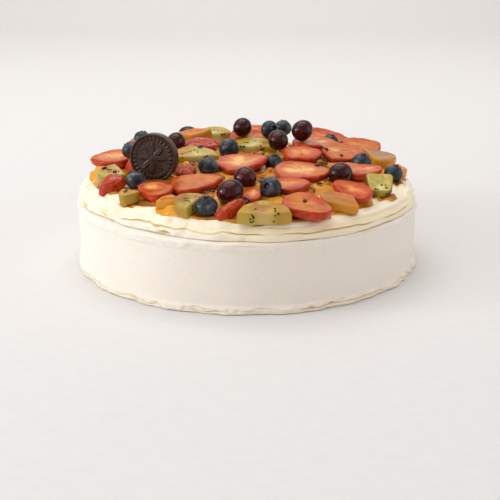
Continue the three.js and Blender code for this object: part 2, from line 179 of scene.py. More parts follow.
AXIS = np.array([0.21, -0.30, 0.0])     # the middle of the drum
RADIUS, HEIGHT = 125.0, 48.4
FOOT_RADIUS, FOOT_HEIGHT, FOOT_LOBES = 127.0, 6.0, 17
FLAKE_HEIGHT, FLAKE_PROUD = 4.6, 0.45           # the upper flake's edge
CRACK_HEIGHT, CRACK_DEPTH, PIT_DEPTH = 2.3, 1.3, 0.9
BAND_HEIGHT, BAND_PROUD = 5.0, 0.6              # the lip of crust under the cream
HAIRLINE_DROP, HAIRLINE_DEPTH, CRUMB_PROUD = 1.5, 0.6, 0.6
DRUM_ROWS, DRUM_COLUMNS = 118, 640
SUGAR_GRIT = 1.43


def smooth(x, low, high):
    """Rises from 0 at low to 1 at high along 3 t**2 - 2 t**3."""
    t = np.clip((x - low) / (high - low), 0, 1)
    return t * t * (3 - 2 * t)


def bell(x, width):
    """1 where x is 0, and e to the minus (x / width) squared to both sides."""
    return np.exp(-(x / width) ** 2)


def wander(angle, seed, lobes=3):
    """Uneven handwork round a circle: three slow sines whose phases come from the seed."""
    return (0.5 * np.sin(lobes * angle + 1.7 * seed)
            + 0.3 * np.sin((2 * lobes - 1) * angle + 2.9 * seed + 1)
            + 0.2 * np.sin((3 * lobes + 2) * angle + 4.3 * seed + 2))


def clouds(points, size, seed):
    """Soft unevenness from -1 to 1: random values at the corners of cubes of that size,
    blended smoothly between them. Three large primes scramble a corner's place into the
    number of its value."""
    drawn = np.random.default_rng(seed).uniform(-1, 1, 4096)
    at = np.asarray(points, float) / size + 500.0       # keeps every cube's number positive
    cell = np.floor(at).astype(np.int64)
    part = at - cell
    part = part * part * (3 - 2 * part)
    total = 0
    for corner in np.ndindex(2, 2, 2):
        c = cell + corner
        key = (c[..., 0] * 73856093) ^ (c[..., 1] * 19349663) ^ (c[..., 2] * 83492791)
        share = np.prod(np.where(np.array(corner) == 1, part, 1 - part), -1)
        total = total + share * drawn[key % len(drawn)]
    return total


def around(columns):
    """Angles at even steps round a circle, as a row."""
    return np.linspace(0, 2 * math.pi, columns, endpoint=False)[None, :]


def polar(r, angle, z):
    """Points at radius r and height z round the origin: (r cos angle, r sin angle, z)."""
    return np.stack(np.broadcast_arrays(r * np.cos(angle), r * np.sin(angle), z), -1)


def walked(profile, rows, squeeze=None):
    """A profile of [radius, height] sampled at rows places along it, evenly by length, or by
    length times a weight for each of its stretches."""
    profile = np.array(profile, float)
    steps = np.hypot(*np.diff(profile, axis=0).T) * (1 if squeeze is None else np.array(squeeze))
    far = np.concatenate([[0], np.cumsum(steps)])
    at = np.linspace(0, far[-1], rows + 2)[1:-1]
    return np.interp(at, far, profile[:, 0]), np.interp(at, far, profile[:, 1])


def skin_faces(rows, columns):
    """The faces of a skin over rings of points: quads from each ring to the next, and fans
    that close its two ends round two more points, the low one first."""
    i, j = np.meshgrid(np.arange(rows - 1), np.arange(columns), indexing="ij")
    k = (j + 1) % columns
    quads = np.stack([i * columns + j, i * columns + k, (i + 1) * columns + k,
                      (i + 1) * columns + j], -1).reshape(-1, 4)
    j = np.arange(columns)
    k, last, count = (j + 1) % columns, (rows - 1) * columns, rows * columns
    fans = np.concatenate([np.stack([0 * j + count, k, j], -1),
                           np.stack([0 * j + count + 1, last + j, last + k], -1)])
    return quads, fans


def marked(piece, mark, values):
    """Keeps one number for each point of a piece as an attribute that its material reads."""
    data = piece.data.attributes.new(mark, "FLOAT", "POINT").data
    data.foreach_set("value", values.astype(np.float32))


def closed(name, rings, finish, **marks):
    """A closed skin over rings of points, lowest ring first, each anticlockwise from above.
    The mean of the first ring and of the last ring close its two ends. Marks are numbers for
    each point, kept as attributes."""
    rows, columns = rings.shape[:2]
    points = np.concatenate([rings.reshape(-1, 3), rings[:1].mean(1), rings[-1:].mean(1)])
    quads, fans = skin_faces(rows, columns)
    piece = made_of(name, points, quads.tolist() + fans.tolist(), finish)
    for mark, values in marks.items():
        values = np.broadcast_to(values, (rows, columns))
        marked(piece, mark, np.concatenate(
            [values.ravel(), values[:1].mean(1), values[-1:].mean(1)]))
    return piece


# The drum's outline from the middle of its underside to the middle of its top, and how
# closely rows stand on each stretch of it.
band_low = HEIGHT - BAND_HEIGHT
profile = [
    [3, 0], [FOOT_RADIUS - 4, 0], [FOOT_RADIUS - 1.5, 0], [FOOT_RADIUS - 0.2, 0.7],
    [FOOT_RADIUS, 1.6], [FOOT_RADIUS - 0.3, FOOT_HEIGHT * 0.55], [RADIUS, FOOT_HEIGHT],
    [RADIUS, band_low - 1], [RADIUS + BAND_PROUD, band_low + 0.8],
    [RADIUS + BAND_PROUD, HEIGHT - 1.2], [RADIUS - 0.2, HEIGHT - 0.2], [RADIUS - 1.4, HEIGHT],
    [RADIUS - 16, HEIGHT], [3, HEIGHT],
]
SQUEEZE = [0.02, 2, 3, 3, 3, 3, 0.8, 3, 3, 3, 3, 1.5, 0.04]
r, z = walked(profile, DRUM_ROWS, SQUEEZE)
r, z = r[:, None], z[:, None]
a = around(DRUM_COLUMNS)
wall = polar(RADIUS, a, z)
plan = wall * [1, 1, 0]

# Slow waves all the way up, flakes round the foot and bumps round the band. In each term
# the factor is the relief, and the number after the place is the size of its clouds.
outer = smooth(r, RADIUS * 0.7, RADIUS * 0.9)
flakes = 1.1 * wander(a, 3, FOOT_LOBES) * (1 - smooth(z, FOOT_HEIGHT * 0.6, FOOT_HEIGHT))
waves = 0.5 * wander(a, 5, 4) + 0.25 * wander(a + z * 0.03, 8, 9)
bumps = 0.7 * wander(a, 6, 13) * smooth(z, band_low - 1, band_low + 1)
grown = r + outer * (waves + flakes + bumps)

# The foot: an upper flake over a lower one, with a ragged crack between them.
edge = FLAKE_HEIGHT + 0.9 * clouds(plan, 9, 31) + 0.9 * clouds(plan, 2.8, 32)
crack = CRACK_HEIGHT + 1.0 * clouds(plan, 14, 33) + 0.4 * clouds(plan, 4, 34)
on_foot = outer * smooth(z, 0.1, 0.7) * (1 - smooth(z, edge - 0.5, edge + 0.4))
torn = bell(z - crack, 0.45) * smooth(clouds(wall, 11, 35), -0.35, 0.3)
pits = smooth(clouds(wall, 3.1, 36), 0.35, 0.8)
lip = bell(z - edge, 0.5) * smooth(clouds(wall, 8, 39), -0.4, 0.4)
grown = grown + on_foot * (0.5 * clouds(wall, 5.5, 37) + 0.65 * clouds(wall, 2.1, 38)
                           - CRACK_DEPTH * torn - PIT_DEPTH * pits)
grown = grown + outer * FLAKE_PROUD * lip

# The band under the cream: low lumps, crumbs and one hairline along the lip.
on_band = smooth(z, band_low - 0.6, band_low + 0.8) * (1 - smooth(z, HEIGHT - 0.4, HEIGHT))
on_band = outer * on_band
hairline = HEIGHT - HAIRLINE_DROP + 0.5 * clouds(plan, 20, 41)
split = bell(z - hairline, 0.3) * smooth(clouds(wall, 16, 42), -0.1, 0.5)
crumbs = smooth(clouds(wall, 4.2, 48), 0.45, 0.8)
grown = grown + on_band * (0.45 * clouds(wall, 7, 43) + 0.35 * clouds(wall, 2.8, 44)
                           + CRUMB_PROUD * crumbs - HAIRLINE_DEPTH * split)
grown = grown + outer * 0.1 * clouds(wall, 24, 45) * (1 - on_band)
lifted = z + outer * (z > HEIGHT - 0.3) * -0.3 * np.abs(clouds(plan, 6, 46))
rings = polar(grown, a, lifted) + AXIS
# The foot is a little beige from baking; its crack, its pits and the hairline are darkened
# further as painted shade in those recesses.
toast = np.clip(on_foot * (0.14 + 0.35 * torn + 0.3 * pits + 0.1 * clouds(wall, 2, 47))
                + 0.35 * on_band * split, 0, 1)

baked, tree = material("baked_meringue")
# Dry sugar foam: dead matt and a hair translucent, a little beige at the foot where it toasted;
# the cracks, the pits and the hairline under the cream are darkened to beige as painted shade.
toasted = add(tree, "Attribute", attribute_name="toast")
place = add(tree, "TexCoord")
speckle = add(tree, "TexNoise", {"Vector": place.outputs["Object"],
                                 "Scale": 1 / (SUGAR_GRIT * MM), "Detail": 3.0})
hue = add(tree, "ValToRGB", {"Fac": toasted.outputs["Fac"]},
          stops=[(0.0, "#f3ece2"), (0.25, "#f1e6d3"), (0.6, "#e3cca5"), (1.0, "#c39d6d")])
faint = add(tree, "ValToRGB", {"Fac": speckle.outputs["Fac"]},
            stops=[(0.3, "#fbf9f7"), (0.7, "#ffffff")])
mixed = add(tree, "Mix", {"Factor": 1.0, 6: hue.outputs["Color"], 7: faint.outputs["Color"]},
            data_type="RGBA", blend_type="MULTIPLY")
grit = add(tree, "Bump", {"Height": speckle.outputs["Fac"], "Strength": 0.12,
                          "Distance": 0.4 * MM})
skin = add(tree, "BsdfPrincipled", {
    "Base Color": mixed.outputs[2], "Roughness": 0.88, "Normal": grit.outputs[0],
    "Subsurface Weight": 0.08, "Subsurface Scale": 3 * MM, "IOR": 1.4})
add(tree, "OutputMaterial", {"Surface": skin.outputs[0]})

meringue = closed("meringue_drum", rings, baked, toast=toast)
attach(meringue, "root")
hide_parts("meringue")

# ---------------------------------------------------------------------------
# The cream.
# Whipped cream, spread with a palette knife over the meringue: soft, moist and
# ivory, lumpy where the knife lifted off, torn at its edge, and set back from
# the wall at the front left, where the meringue's rim shows.

REST_GAP = 0.35
UNDER = HEIGHT + REST_GAP
CREAM_EDGE, CREAM_RIM, CREAM_DOME = 124.2, 10.6, 7.0
SHOULDER_WIDTH, SHOULDER_DROP = 7.0, 5.0
RIDGE_HEIGHT, RIDGE_SPACING = 0.45, 5.984       # the knife's long ridges
INSET, INSET_AT, INSET_SPREAD = 6.5, -127, 28   # millimetres, then degrees
ROUGH_PATCH_AT, ROUGH_PATCH_SPREAD = -6, 24     # degrees
CREASE_HEIGHT, CREASE_DEPTH = 4.6, 1.5
STEP_HEIGHT, STEP_DEPTH = 8.3, 1.0
HOLLOW_HEIGHT, HOLLOW_DEPTH = 1.9, 3.2
PRESSED = 1.2
EDGE_ROWS, CREAM_COLUMNS = 22, 560
POOL_FULL, POOL_EDGE, POOL_SHARE = 66, 96, 0.62     # where juice and pulp fill the middle
PLAIN_CREAM = 0.1       # the value of plain cream on its painted shade mark; below it the meringue shows through
CURD = 2.38


def leftward(angle):
    """0 at the cake's right end and 1 at its left end: half of 1 minus the cosine."""
    return 0.5 - 0.5 * np.cos(angle)


def degrees_past(angle, start):
    """How many degrees an angle of 0 to 2 pi is past a start that is given from -180 to 180."""
    return np.degrees(np.where(angle > math.pi, angle - 2 * math.pi, angle)) - start


def cream_height(r):
    """Height of the cream's top over its underside: a dome that falls with the cube of the
    radius, and a shoulder that drops along the square of a smooth step."""
    inner = CREAM_DOME * (1 - np.minimum(1, r / (CREAM_EDGE - SHOULDER_WIDTH)) ** 3)
    shoulder = SHOULDER_DROP * smooth(r, CREAM_EDGE - SHOULDER_WIDTH, CREAM_EDGE) ** 2
    return CREAM_RIM + inner - shoulder


def cream_relief(r, angle):
    """How far the knife marks lift the top: wandering lumps, stronger at the left, and long
    ridges, a sine of the radius that drifts with the angle."""
    left = leftward(angle)
    margin = smooth(r, CREAM_EDGE - 30, CREAM_EDGE - 12)
    lumps = (0.4 + 1.0 * left) * wander(angle + r * 0.05, 4, 11)
    ridges = RIDGE_HEIGHT * np.sin(2 * math.pi / RIDGE_SPACING * r + 2.2 * angle)
    return margin * (lumps + ridges * (1 - 0.6 * left))


def cream_rough(angle):
    """How roughly the cream was left, 0 to 1: a smooth step towards the left, where it was
    dolloped, and a bell over a patch at the right end."""
    patch = bell(degrees_past(angle, ROUGH_PATCH_AT), ROUGH_PATCH_SPREAD)
    return np.maximum(smooth(leftward(angle), 0.25, 0.85), 0.7 * patch)


def cream_top(r, angle):
    """The cream's upper face over its underside: the dome, the knife marks, and lumps and torn
    folds as clouds of three sizes, higher where it is rough."""
    rough = cream_rough(angle)
    margin = smooth(r, CREAM_EDGE - 34, CREAM_EDGE - 16)
    spot = polar(r, angle, 0)
    lumps = ((0.3 + 1.2 * rough) * clouds(spot, 17, 51) + (0.2 + 0.75 * rough)
             * clouds(spot, 7.5, 52) + (0.12 + 0.25 * rough) * clouds(spot, 3.2, 53))
    return cream_height(r) + cream_relief(r, angle) + margin * lumps


def cream_spread(r, angle):
    """How far the cream is carried outward from r: wandering lobes, stronger at the left, less
    a bell round the front left, where it is set back from the wall."""
    lobes = (0.6 + 1.2 * leftward(angle)) * wander(angle, 2, 7)
    inset = INSET * bell(degrees_past(angle, INSET_AT), INSET_SPREAD)
    return (lobes * smooth(r, CREAM_EDGE - 24, CREAM_EDGE - 4)
            - inset * smooth(r, CREAM_EDGE - 40, CREAM_EDGE - 4))


def crowded(points, kind=""):
    """How much fruit of a kind stands at a place, from 0 on bare cream to 1 under a piece: a
    piece counts inside the ellipse of its box and fades out over a few millimetres round it."""
    bare = 1
    for name in sorted(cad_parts):
        if name not in ("meringue", "cream") and name.startswith(kind):
            low, high = np.array(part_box(name)) / MM
            middle, half = (low + high) / 2, (high - low) / 2 + 2
            off = (points - middle) / half
            bare = bare * smooth(np.hypot(off[..., 0], off[..., 1]), 0.75, 1.2)
    return 1 - bare


# The skin runs out along the flat underside, up the edge and back in over the top, with
# rows close together at the edge.
under_r = np.concatenate([np.linspace(3, 100, 10), np.linspace(104, CREAM_EDGE - 3.5, 10)])
edge_r, edge_z = walked([
    [CREAM_EDGE - 1.6, 0.05], [CREAM_EDGE - 0.4, 0.8], [CREAM_EDGE, 2.4],
    [CREAM_EDGE - 0.15, cream_height(CREAM_EDGE - 0.15)],
], EDGE_ROWS)
top_r = np.concatenate([CREAM_EDGE - 0.2 - 14 * np.linspace(0, 1, 30) ** 1.2,
                        np.linspace(CREAM_EDGE - 14.8, 60, 50), np.linspace(56, 3, 14)])
r = np.concatenate([under_r, edge_r, top_r])[:, None]
rise = np.concatenate([0 * under_r, edge_z, cream_height(top_r)])[:, None]
a = around(CREAM_COLUMNS)
degrees, left, rough = degrees_past(a, 0), leftward(a), cream_rough(a)
spot = polar(r, a, rise)
plan = spot * [1, 1, 0]

# Up its edge the skin goes over from the flat underside to the cream's upper face.
lifted = smooth(rise, 0.3, 5.4) * (cream_top(r, a) - cream_height(r))
on_edge = smooth(r, CREAM_EDGE - 12, CREAM_EDGE - 3) * smooth(rise, 0.2, 1.4)
push = on_edge * ((0.35 + 1.3 * rough) * clouds(spot, 10, 54) + (0.2 + 0.9 * rough)
                  * clouds(spot, 4.5, 55))

# A crease runs along the front, where an upper layer of cream ends over a lower one.
crease_at = CREASE_HEIGHT + 0.6 * clouds(plan, 26, 56) + 0.25 * clouds(plan, 6, 57)
crease_on = smooth(degrees, -160, -138) * (1 - smooth(degrees, -22, -8))
broken = smooth(clouds(plan, 15, 59), -0.55, 0.35)
gape = 0.42 + 0.5 * smooth(clouds(plan, 9, 68), 0.1, 0.6) * smooth(left, 0.5, 0.7)
crease = on_edge * crease_on * broken * bell(rise - crease_at, gape)

# Higher up, the knife left a step or two along the side.
step_at = STEP_HEIGHT + 1.1 * clouds(plan, 30, 61) + 0.3 * clouds(plan, 7, 62)
steps = smooth(clouds(plan, 19, 63), -0.2, 0.4) * smooth(r, CREAM_EDGE - 9, CREAM_EDGE)
steps = steps * bell(rise - step_at, 0.7)

# At the left and the front left, hollows open under the edge, where it lifts off the rim.
hollow_at = HOLLOW_HEIGHT + 0.9 * clouds(plan, 13, 60) + 0.5 * clouds(plan, 4, 70)
open_there = smooth(clouds(plan, 11, 58) + 0.5 * clouds(plan, 41, 64), 0.1, 0.6)
open_there = open_there * smooth(left, 0.3, 0.7)
notch = on_edge * open_there * bell(rise - hollow_at, 0.3 + 0.8 * open_there)

# Elsewhere the foot of the edge is pressed outward, flush with the rim.
settled = (REST_GAP - 0.05) * (1 - smooth(rise, 0, 2))
pressed = (smooth(clouds(plan, 18, 67), -0.5, 0.1) * (1 - smooth(rise, 0.1, 1.4))
           * smooth(r, CREAM_EDGE - 6, CREAM_EDGE - 1.6) * (1 - open_there))
reach = (r + cream_spread(r, a) + push + PRESSED * pressed - CREASE_DEPTH * crease
         - HOLLOW_DEPTH * notch - STEP_DEPTH * steps)
rings = polar(reach, a, UNDER + rise + lifted - settled - 0.5 * steps) + AXIS
rings[..., 2] = np.maximum(rings[..., 2], HEIGHT + 0.05)

# Painted shade darkens the folds, the hollows and the foot of the edge towards tan, and yellows
# the side of the edge a little; the layer under the crease is whiter at the left, and the juice
# of the fruit soaked the top.
whiter = smooth(crease_at - rise, 0, 0.6) * crease_on * smooth(left, 0.45, 0.65)
toast = np.clip(0.6 * crease + 0.85 * notch + 0.2 * on_edge * (1 - smooth(rise, 0.3, 1.2))
                + on_edge * (0.06 + 0.1 * smooth(rise, 4, 6)) * (1 - smooth(rise, 7, 10))
                * (1 - rough), 0, 1) + PLAIN_CREAM * (1 - whiter)
among = np.hypot(rings[..., 0], rings[..., 1])
soaked = crowded(rings) + POOL_SHARE * (1 - smooth(among, POOL_FULL, POOL_EDGE))
soaked = smooth(soaked, 0.3, 0.55) * (1 - smooth(among, 88, 98)) * (rise > 6)

whipped, tree = material("whipped_cream")
# Fat and air: ivory, soft-edged because light passes into it, with a low moist sheen.
toasted = add(tree, "Attribute", attribute_name="toast")
place = add(tree, "TexCoord")
curd = add(tree, "TexNoise", {"Vector": place.outputs["Object"], "Scale": 1 / (CURD * MM),
                              "Detail": 3.0})
# Plain ivory turns towards tan where the folds, the hollows and the edge's side carry painted
# shade.
hue = add(tree, "ValToRGB", {"Fac": toasted.outputs["Fac"]},
          stops=[(0.0, "#f5eee2"), (0.1, "#f9efd6"), (0.45, "#ebd3a0"), (1.0, "#b58a4c")])
soak = add(tree, "Attribute", attribute_name="soaked")
wetted = add(tree, "Mix", {"Factor": soak.outputs["Fac"], 6: hue.outputs["Color"],
                           7: linear("#b9742a")}, data_type="RGBA")
ripple = add(tree, "Bump", {"Height": curd.outputs["Fac"], "Strength": 0.1,
                            "Distance": 0.4 * MM})
skin = add(tree, "BsdfPrincipled", {
    "Base Color": wetted.outputs[2], "Roughness": 0.5, "Normal": ripple.outputs[0],
    "Subsurface Weight": 0.2, "Subsurface Scale": 4 * MM, "IOR": 1.45,
    "Subsurface Radius": (1.0, 0.8, 0.5)})
add(tree, "OutputMaterial", {"Surface": skin.outputs[0]})

cream = closed("cream_layer", rings, whipped, toast=toast, soaked=soaked)
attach(cream, "root")
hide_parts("cream")

# ---------------------------------------------------------------------------
# The chocolate disc.
# Dark chocolate set in a shallow mould and stood on edge: a raised border, a
# ring of short pips and an eight-petalled rosette in the field; its back is plain.

DISC_RADIUS, DISC_THICKNESS, DISC_RIM, DISC_RECESS = 17.5, 8.0, 1.7, 1.0
DISC_TURN, DISC_LEAN = -17, 86                      # degrees about Z, then about X
PETALS, PETAL_LENGTH, PETAL_WIDTH = 8, 0.7, 4.2     # the length is a share of the field
GROOVE_WIDTH, GROOVE_DEPTH, BOSS_RADIUS = 0.3, 0.45, 2.4
PIPS, PIPS_FROM, PIPS_TO, PIP_HEIGHT = 30, 0.80, 0.95, 0.9
DISC_ROWS, DISC_COLUMNS = 120, 240
BLOOM_PATCH = 5.56


def turned_to(up, heading=0.0):
    """The rotation that turns a piece by heading about Z, then leans its Z axis to up by the
    shortest way."""
    lean = Vector((0, 0, 1)).rotation_difference(Vector(up)).to_matrix()
    return np.array(lean @ Matrix.Rotation(math.radians(heading), 3, "Z"))


def laid(points, node, turn):
    """Turns a piece's points and carries the middle of their box to the middle of the box
    of the piece's own node."""
    low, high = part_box(node)
    turned = points @ turn.T
    flat = turned.reshape(-1, 3)
    return turned + np.array(low + high) / 2 / MM - (flat.min(0) + flat.max(0)) / 2


half = DISC_THICKNESS / 2
field = half - DISC_RECESS
inner = DISC_RADIUS - DISC_RIM
profile = [
    [0.5, -half], [DISC_RADIUS - 0.9, -half], [DISC_RADIUS - 0.2, -half + 0.25],
    [DISC_RADIUS, -half + 0.9], [DISC_RADIUS, half - 0.8], [DISC_RADIUS - 0.25, half - 0.2],
    [DISC_RADIUS - 0.8, half], [inner + 0.5, half], [inner + 0.15, half - 0.2],
    [inner - 0.3, field], [0.3, field],
]
r, z = walked(profile, DISC_ROWS, [0.3, 2, 2, 1, 2, 2, 2, 2, 2, 2])
r, z = r[:, None], z[:, None]
a = around(DISC_COLUMNS)
# A petal is a rounded leaf with a groove down its middle; a boss sits where they meet.
off = np.abs((a * PETALS / (2 * math.pi) + 0.5) % 1 - 0.5) * 2 * math.pi / PETALS * r
tip = PETAL_LENGTH * inner
wide = PETAL_WIDTH / 2 * np.sin(math.pi * np.clip(r / tip, 0, 1)) ** 0.7 + 1e-6
petal = np.sqrt(np.clip(1 - (off / wide) ** 2, 0, 1)) * (r < tip)
petal = petal * (1 - GROOVE_DEPTH * bell(off, GROOVE_WIDTH))
boss = np.sqrt(np.clip(1 - (r / BOSS_RADIUS) ** 2, 0, 1))
pips = (smooth(r / inner, PIPS_FROM - 0.02, PIPS_FROM + 0.02)
        * (1 - smooth(r / inner, PIPS_TO - 0.02, PIPS_TO + 0.02))
        * smooth(np.cos(PIPS * a), -0.35, 0.25))
front = (z > 0) & (r < inner - 0.2)
relief = front * np.maximum(np.maximum(petal, boss), PIP_HEIGHT * pips)
rings = laid(polar(r, a, z + relief), "chocolate_disc",
             np.array(Matrix.Rotation(math.radians(DISC_TURN), 3, "Z")
                      @ Matrix.Rotation(math.radians(DISC_LEAN), 3, "X")))

chocolate, tree = material("moulded_dark_chocolate")
# Tempered dark chocolate: nearly black brown with a satin face from the mould.
place = add(tree, "TexCoord")
bloom = add(tree, "TexNoise", {"Vector": place.outputs["Object"],
                               "Scale": 1 / (BLOOM_PATCH * MM), "Detail": 4.0})
hue = add(tree, "ValToRGB", {"Fac": bloom.outputs["Fac"]},
          stops=[(0.35, "#2e1a0f"), (0.75, "#4a2f1f")])
ripple = add(tree, "Bump", {"Height": bloom.outputs["Fac"], "Strength": 0.15,
                            "Distance": 0.3 * MM})
skin = add(tree, "BsdfPrincipled", {
    "Base Color": hue.outputs["Color"], "Roughness": 0.3, "Normal": ripple.outputs[0],
    "IOR": 1.47, "Specular IOR Level": 0.4})
add(tree, "OutputMaterial", {"Surface": skin.outputs[0]})

disc = closed("chocolate_medallion", rings, chocolate)
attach(disc, "root")
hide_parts("chocolate_disc")

# ---------------------------------------------------------------------------
# The blueberries.
# Fresh berries, 13 to 16 mm: a slightly flattened ball, blue-black under a dusty
# wax bloom that has been rubbed off in places, with a five-lobed crown round a pit.

BLUEBERRIES = {
    # node: width, height, the way the crown looks
    "blueberry_front": (15.0, 13.2, (0.1, -0.3, 1)),
    "blueberry_front_crown": (15.0, 13.4, (-0.5, -1, 0.45)),
    "blueberry_left": (14.2, 12.6, (-0.4, 0.2, 1)),
    "blueberry_right": (14.2, 12.6, (0.4, -0.1, 1)),
    "blueberry_sunk": (15.2, 12.8, (0.3, -0.2, 1)),
    "blueberry_centre": (14.0, 12.2, (0.2, -0.2, 1)),
    "blueberry_middle": (15.2, 13.4, (0.5, 0.4, 1)),
    "blueberry_small": (14.8, 13.8, (0.1, 0.1, 1)),
    "blueberry_far_left": (13.4, 11.8, (-0.5, 0.3, 1)),
    "blueberry_back_left": (13.6, 12.0, (0.3, 0.6, 1)),
    "blueberry_back_middle": (16.4, 15.0, (-0.8, 0.1, 0.6)),
    "blueberry_back": (14.8, 13.0, (0.6, -0.8, 0.3)),
    "blueberry_far_back": (14.4, 12.8, (0.2, 0.4, 1)),
}
# The crown's place, width and lift and the pit's depth, all as shares of the berry's radius.
CROWN_LOBES, CROWN_AT, CROWN_WIDTH, CROWN_LIFT, PIT_SUNK = 5, 0.37, 0.075, 0.10, 0.27
BERRY_COLUMNS = 50
RUBBED_PATCH = 6.67

wax, tree = material("blueberry_skin_with_bloom")
# Thin taut skin under wax: dull blue-grey, and blue-black with some gloss where rubbed.
pit = add(tree, "Attribute", attribute_name="pit")
place = add(tree, "TexCoord")
rubbed = add(tree, "TexNoise", {"Vector": place.outputs["Object"],
                                "Scale": 1 / (RUBBED_PATCH * MM), "Detail": 5.0,
                                "Roughness": 0.6})
hue = add(tree, "ValToRGB", {"Fac": rubbed.outputs["Fac"]},
          stops=[(0.34, "#0c0d10"), (0.54, "#242a31"), (0.76, "#77828e")])
dark = add(tree, "Mix", {"Factor": pit.outputs["Fac"], 6: hue.outputs["Color"],
                         7: linear("#14171d")}, data_type="RGBA")
dull = add(tree, "MapRange", {"Value": rubbed.outputs["Fac"], "To Min": 0.2, "To Max": 0.46})
skin = add(tree, "BsdfPrincipled", {
    "Base Color": dark.outputs[2], "Roughness": dull.outputs[0], "IOR": 1.45,
    "Sheen Weight": 0.08, "Sheen Roughness": 0.4, "Sheen Tint": linear("#b4c4d6")})
add(tree, "OutputMaterial", {"Surface": skin.outputs[0]})

# Rows crowd towards the crown.
tilt = np.radians(np.concatenate([np.linspace(-86, 50, 24), np.linspace(53, 88, 20)]))[:, None]
a = around(BERRY_COLUMNS)
for seed, (node, (width, height, crown)) in enumerate(BLUEBERRIES.items()):
    share = np.cos(tilt) * (1 + 0.02 * wander(a, seed, 2))
    lobe = np.cos(CROWN_LOBES * a)
    ring = bell(share - CROWN_AT, CROWN_WIDTH) * (tilt > 0)
    sunk = (1 - smooth(share, 0.17, 0.33)) * (tilt > 0)
    z = height / 2 * (np.sin(tilt) + CROWN_LIFT * ring * (0.7 + 0.5 * lobe) - PIT_SUNK * sunk)
    rings = laid(polar(share * width / 2 * (1 + 0.05 * ring * lobe), a, z), node,
                 turned_to(crown))
    berry = closed(node + "_berry", rings, wax, pit=np.clip(sunk, 0, 1))
    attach(berry, "root")
    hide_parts(node)

# ---------------------------------------------------------------------------
# The grapes.
# Small dark dessert grapes, washed and shiny: a taut, nearly black wine-red skin,
# egg-shaped, with a pale little scar in a dimple where the stalk was pulled off.

GRAPES = {
    # node: width, height, the way the scar looks
    "grape_front": (17.0, 19.0, (0.7, 0.5, 0.4)),
    "grape_middle": (15.6, 17.2, (-0.6, 0.7, 0.3)),
    "grape_right": (16.0, 17.6, (1, 0.3, 0.3)),
    "grape_back_left": (18.0, 19.8, (-0.9, 0.3, 0.5)),
    "grape_centre_back": (15.4, 16.8, (-0.5, 0.8, 0.5)),
    "grape_back_right": (16.2, 17.8, (0.8, 0.4, 0.6)),
    "grape_back": (15.2, 16.8, (0.3, 1, 0.4)),
    "grape_beside_disc": (14.8, 16.2, (0.4, 0.9, 0.5)),
}
DIMPLE_WIDTH, DIMPLE_DEPTH = 0.17, 0.1      # shares of the grape's radius
GRAPE_COLUMNS = 56
BLUSH_PATCH = 11.1

taut, tree = material("glossy_grape_skin")
# A wet-looking waxy skin: sharp highlights over wine red that goes nearly black.
scar = add(tree, "Attribute", attribute_name="scar")
place = add(tree, "TexCoord")
blush = add(tree, "TexNoise", {"Vector": place.outputs["Object"],
                               "Scale": 1 / (BLUSH_PATCH * MM), "Detail": 3.0})
hue = add(tree, "ValToRGB", {"Fac": blush.outputs["Fac"]},
          stops=[(0.35, "#1e0405"), (0.75, "#54120f")])
mark = add(tree, "Mix", {"Factor": scar.outputs["Fac"], 6: hue.outputs["Color"],
                         7: linear("#a58a62")}, data_type="RGBA")
skin = add(tree, "BsdfPrincipled", {
    "Base Color": mark.outputs[2], "Roughness": 0.08, "IOR": 1.38})
add(tree, "OutputMaterial", {"Surface": skin.outputs[0]})

tilt = np.radians(np.concatenate([np.linspace(-86, 66, 30), np.linspace(70, 88.5, 8)]))[:, None]
a = around(GRAPE_COLUMNS)
for seed, (node, (width, height, away)) in enumerate(GRAPES.items()):
    share = np.cos(tilt) * (1 + 0.012 * wander(a, seed, 2))
    fuller = 1 - 0.06 * np.sin(tilt)
    dimple = bell(share, DIMPLE_WIDTH) * (tilt > 0)
    z = height / 2 * (np.sin(tilt) - DIMPLE_DEPTH * dimple)
    rings = laid(polar(share * width / 2 * fuller, a, z), node, turned_to(away))
    berry = closed(node + "_berry", rings, taut, scar=smooth(dimple, 0.75, 0.95))
    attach(berry, "root")
    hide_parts(node)

# ---------------------------------------------------------------------------
# The strawberries.
# Ripe strawberries cut with a knife: lengthwise slices with their skin underneath,
# heels with the seeded skin on top, and one slice cut across. Wet, translucent
# flesh, coral at the rim and peach at the heart, stained orange by fruit juice.

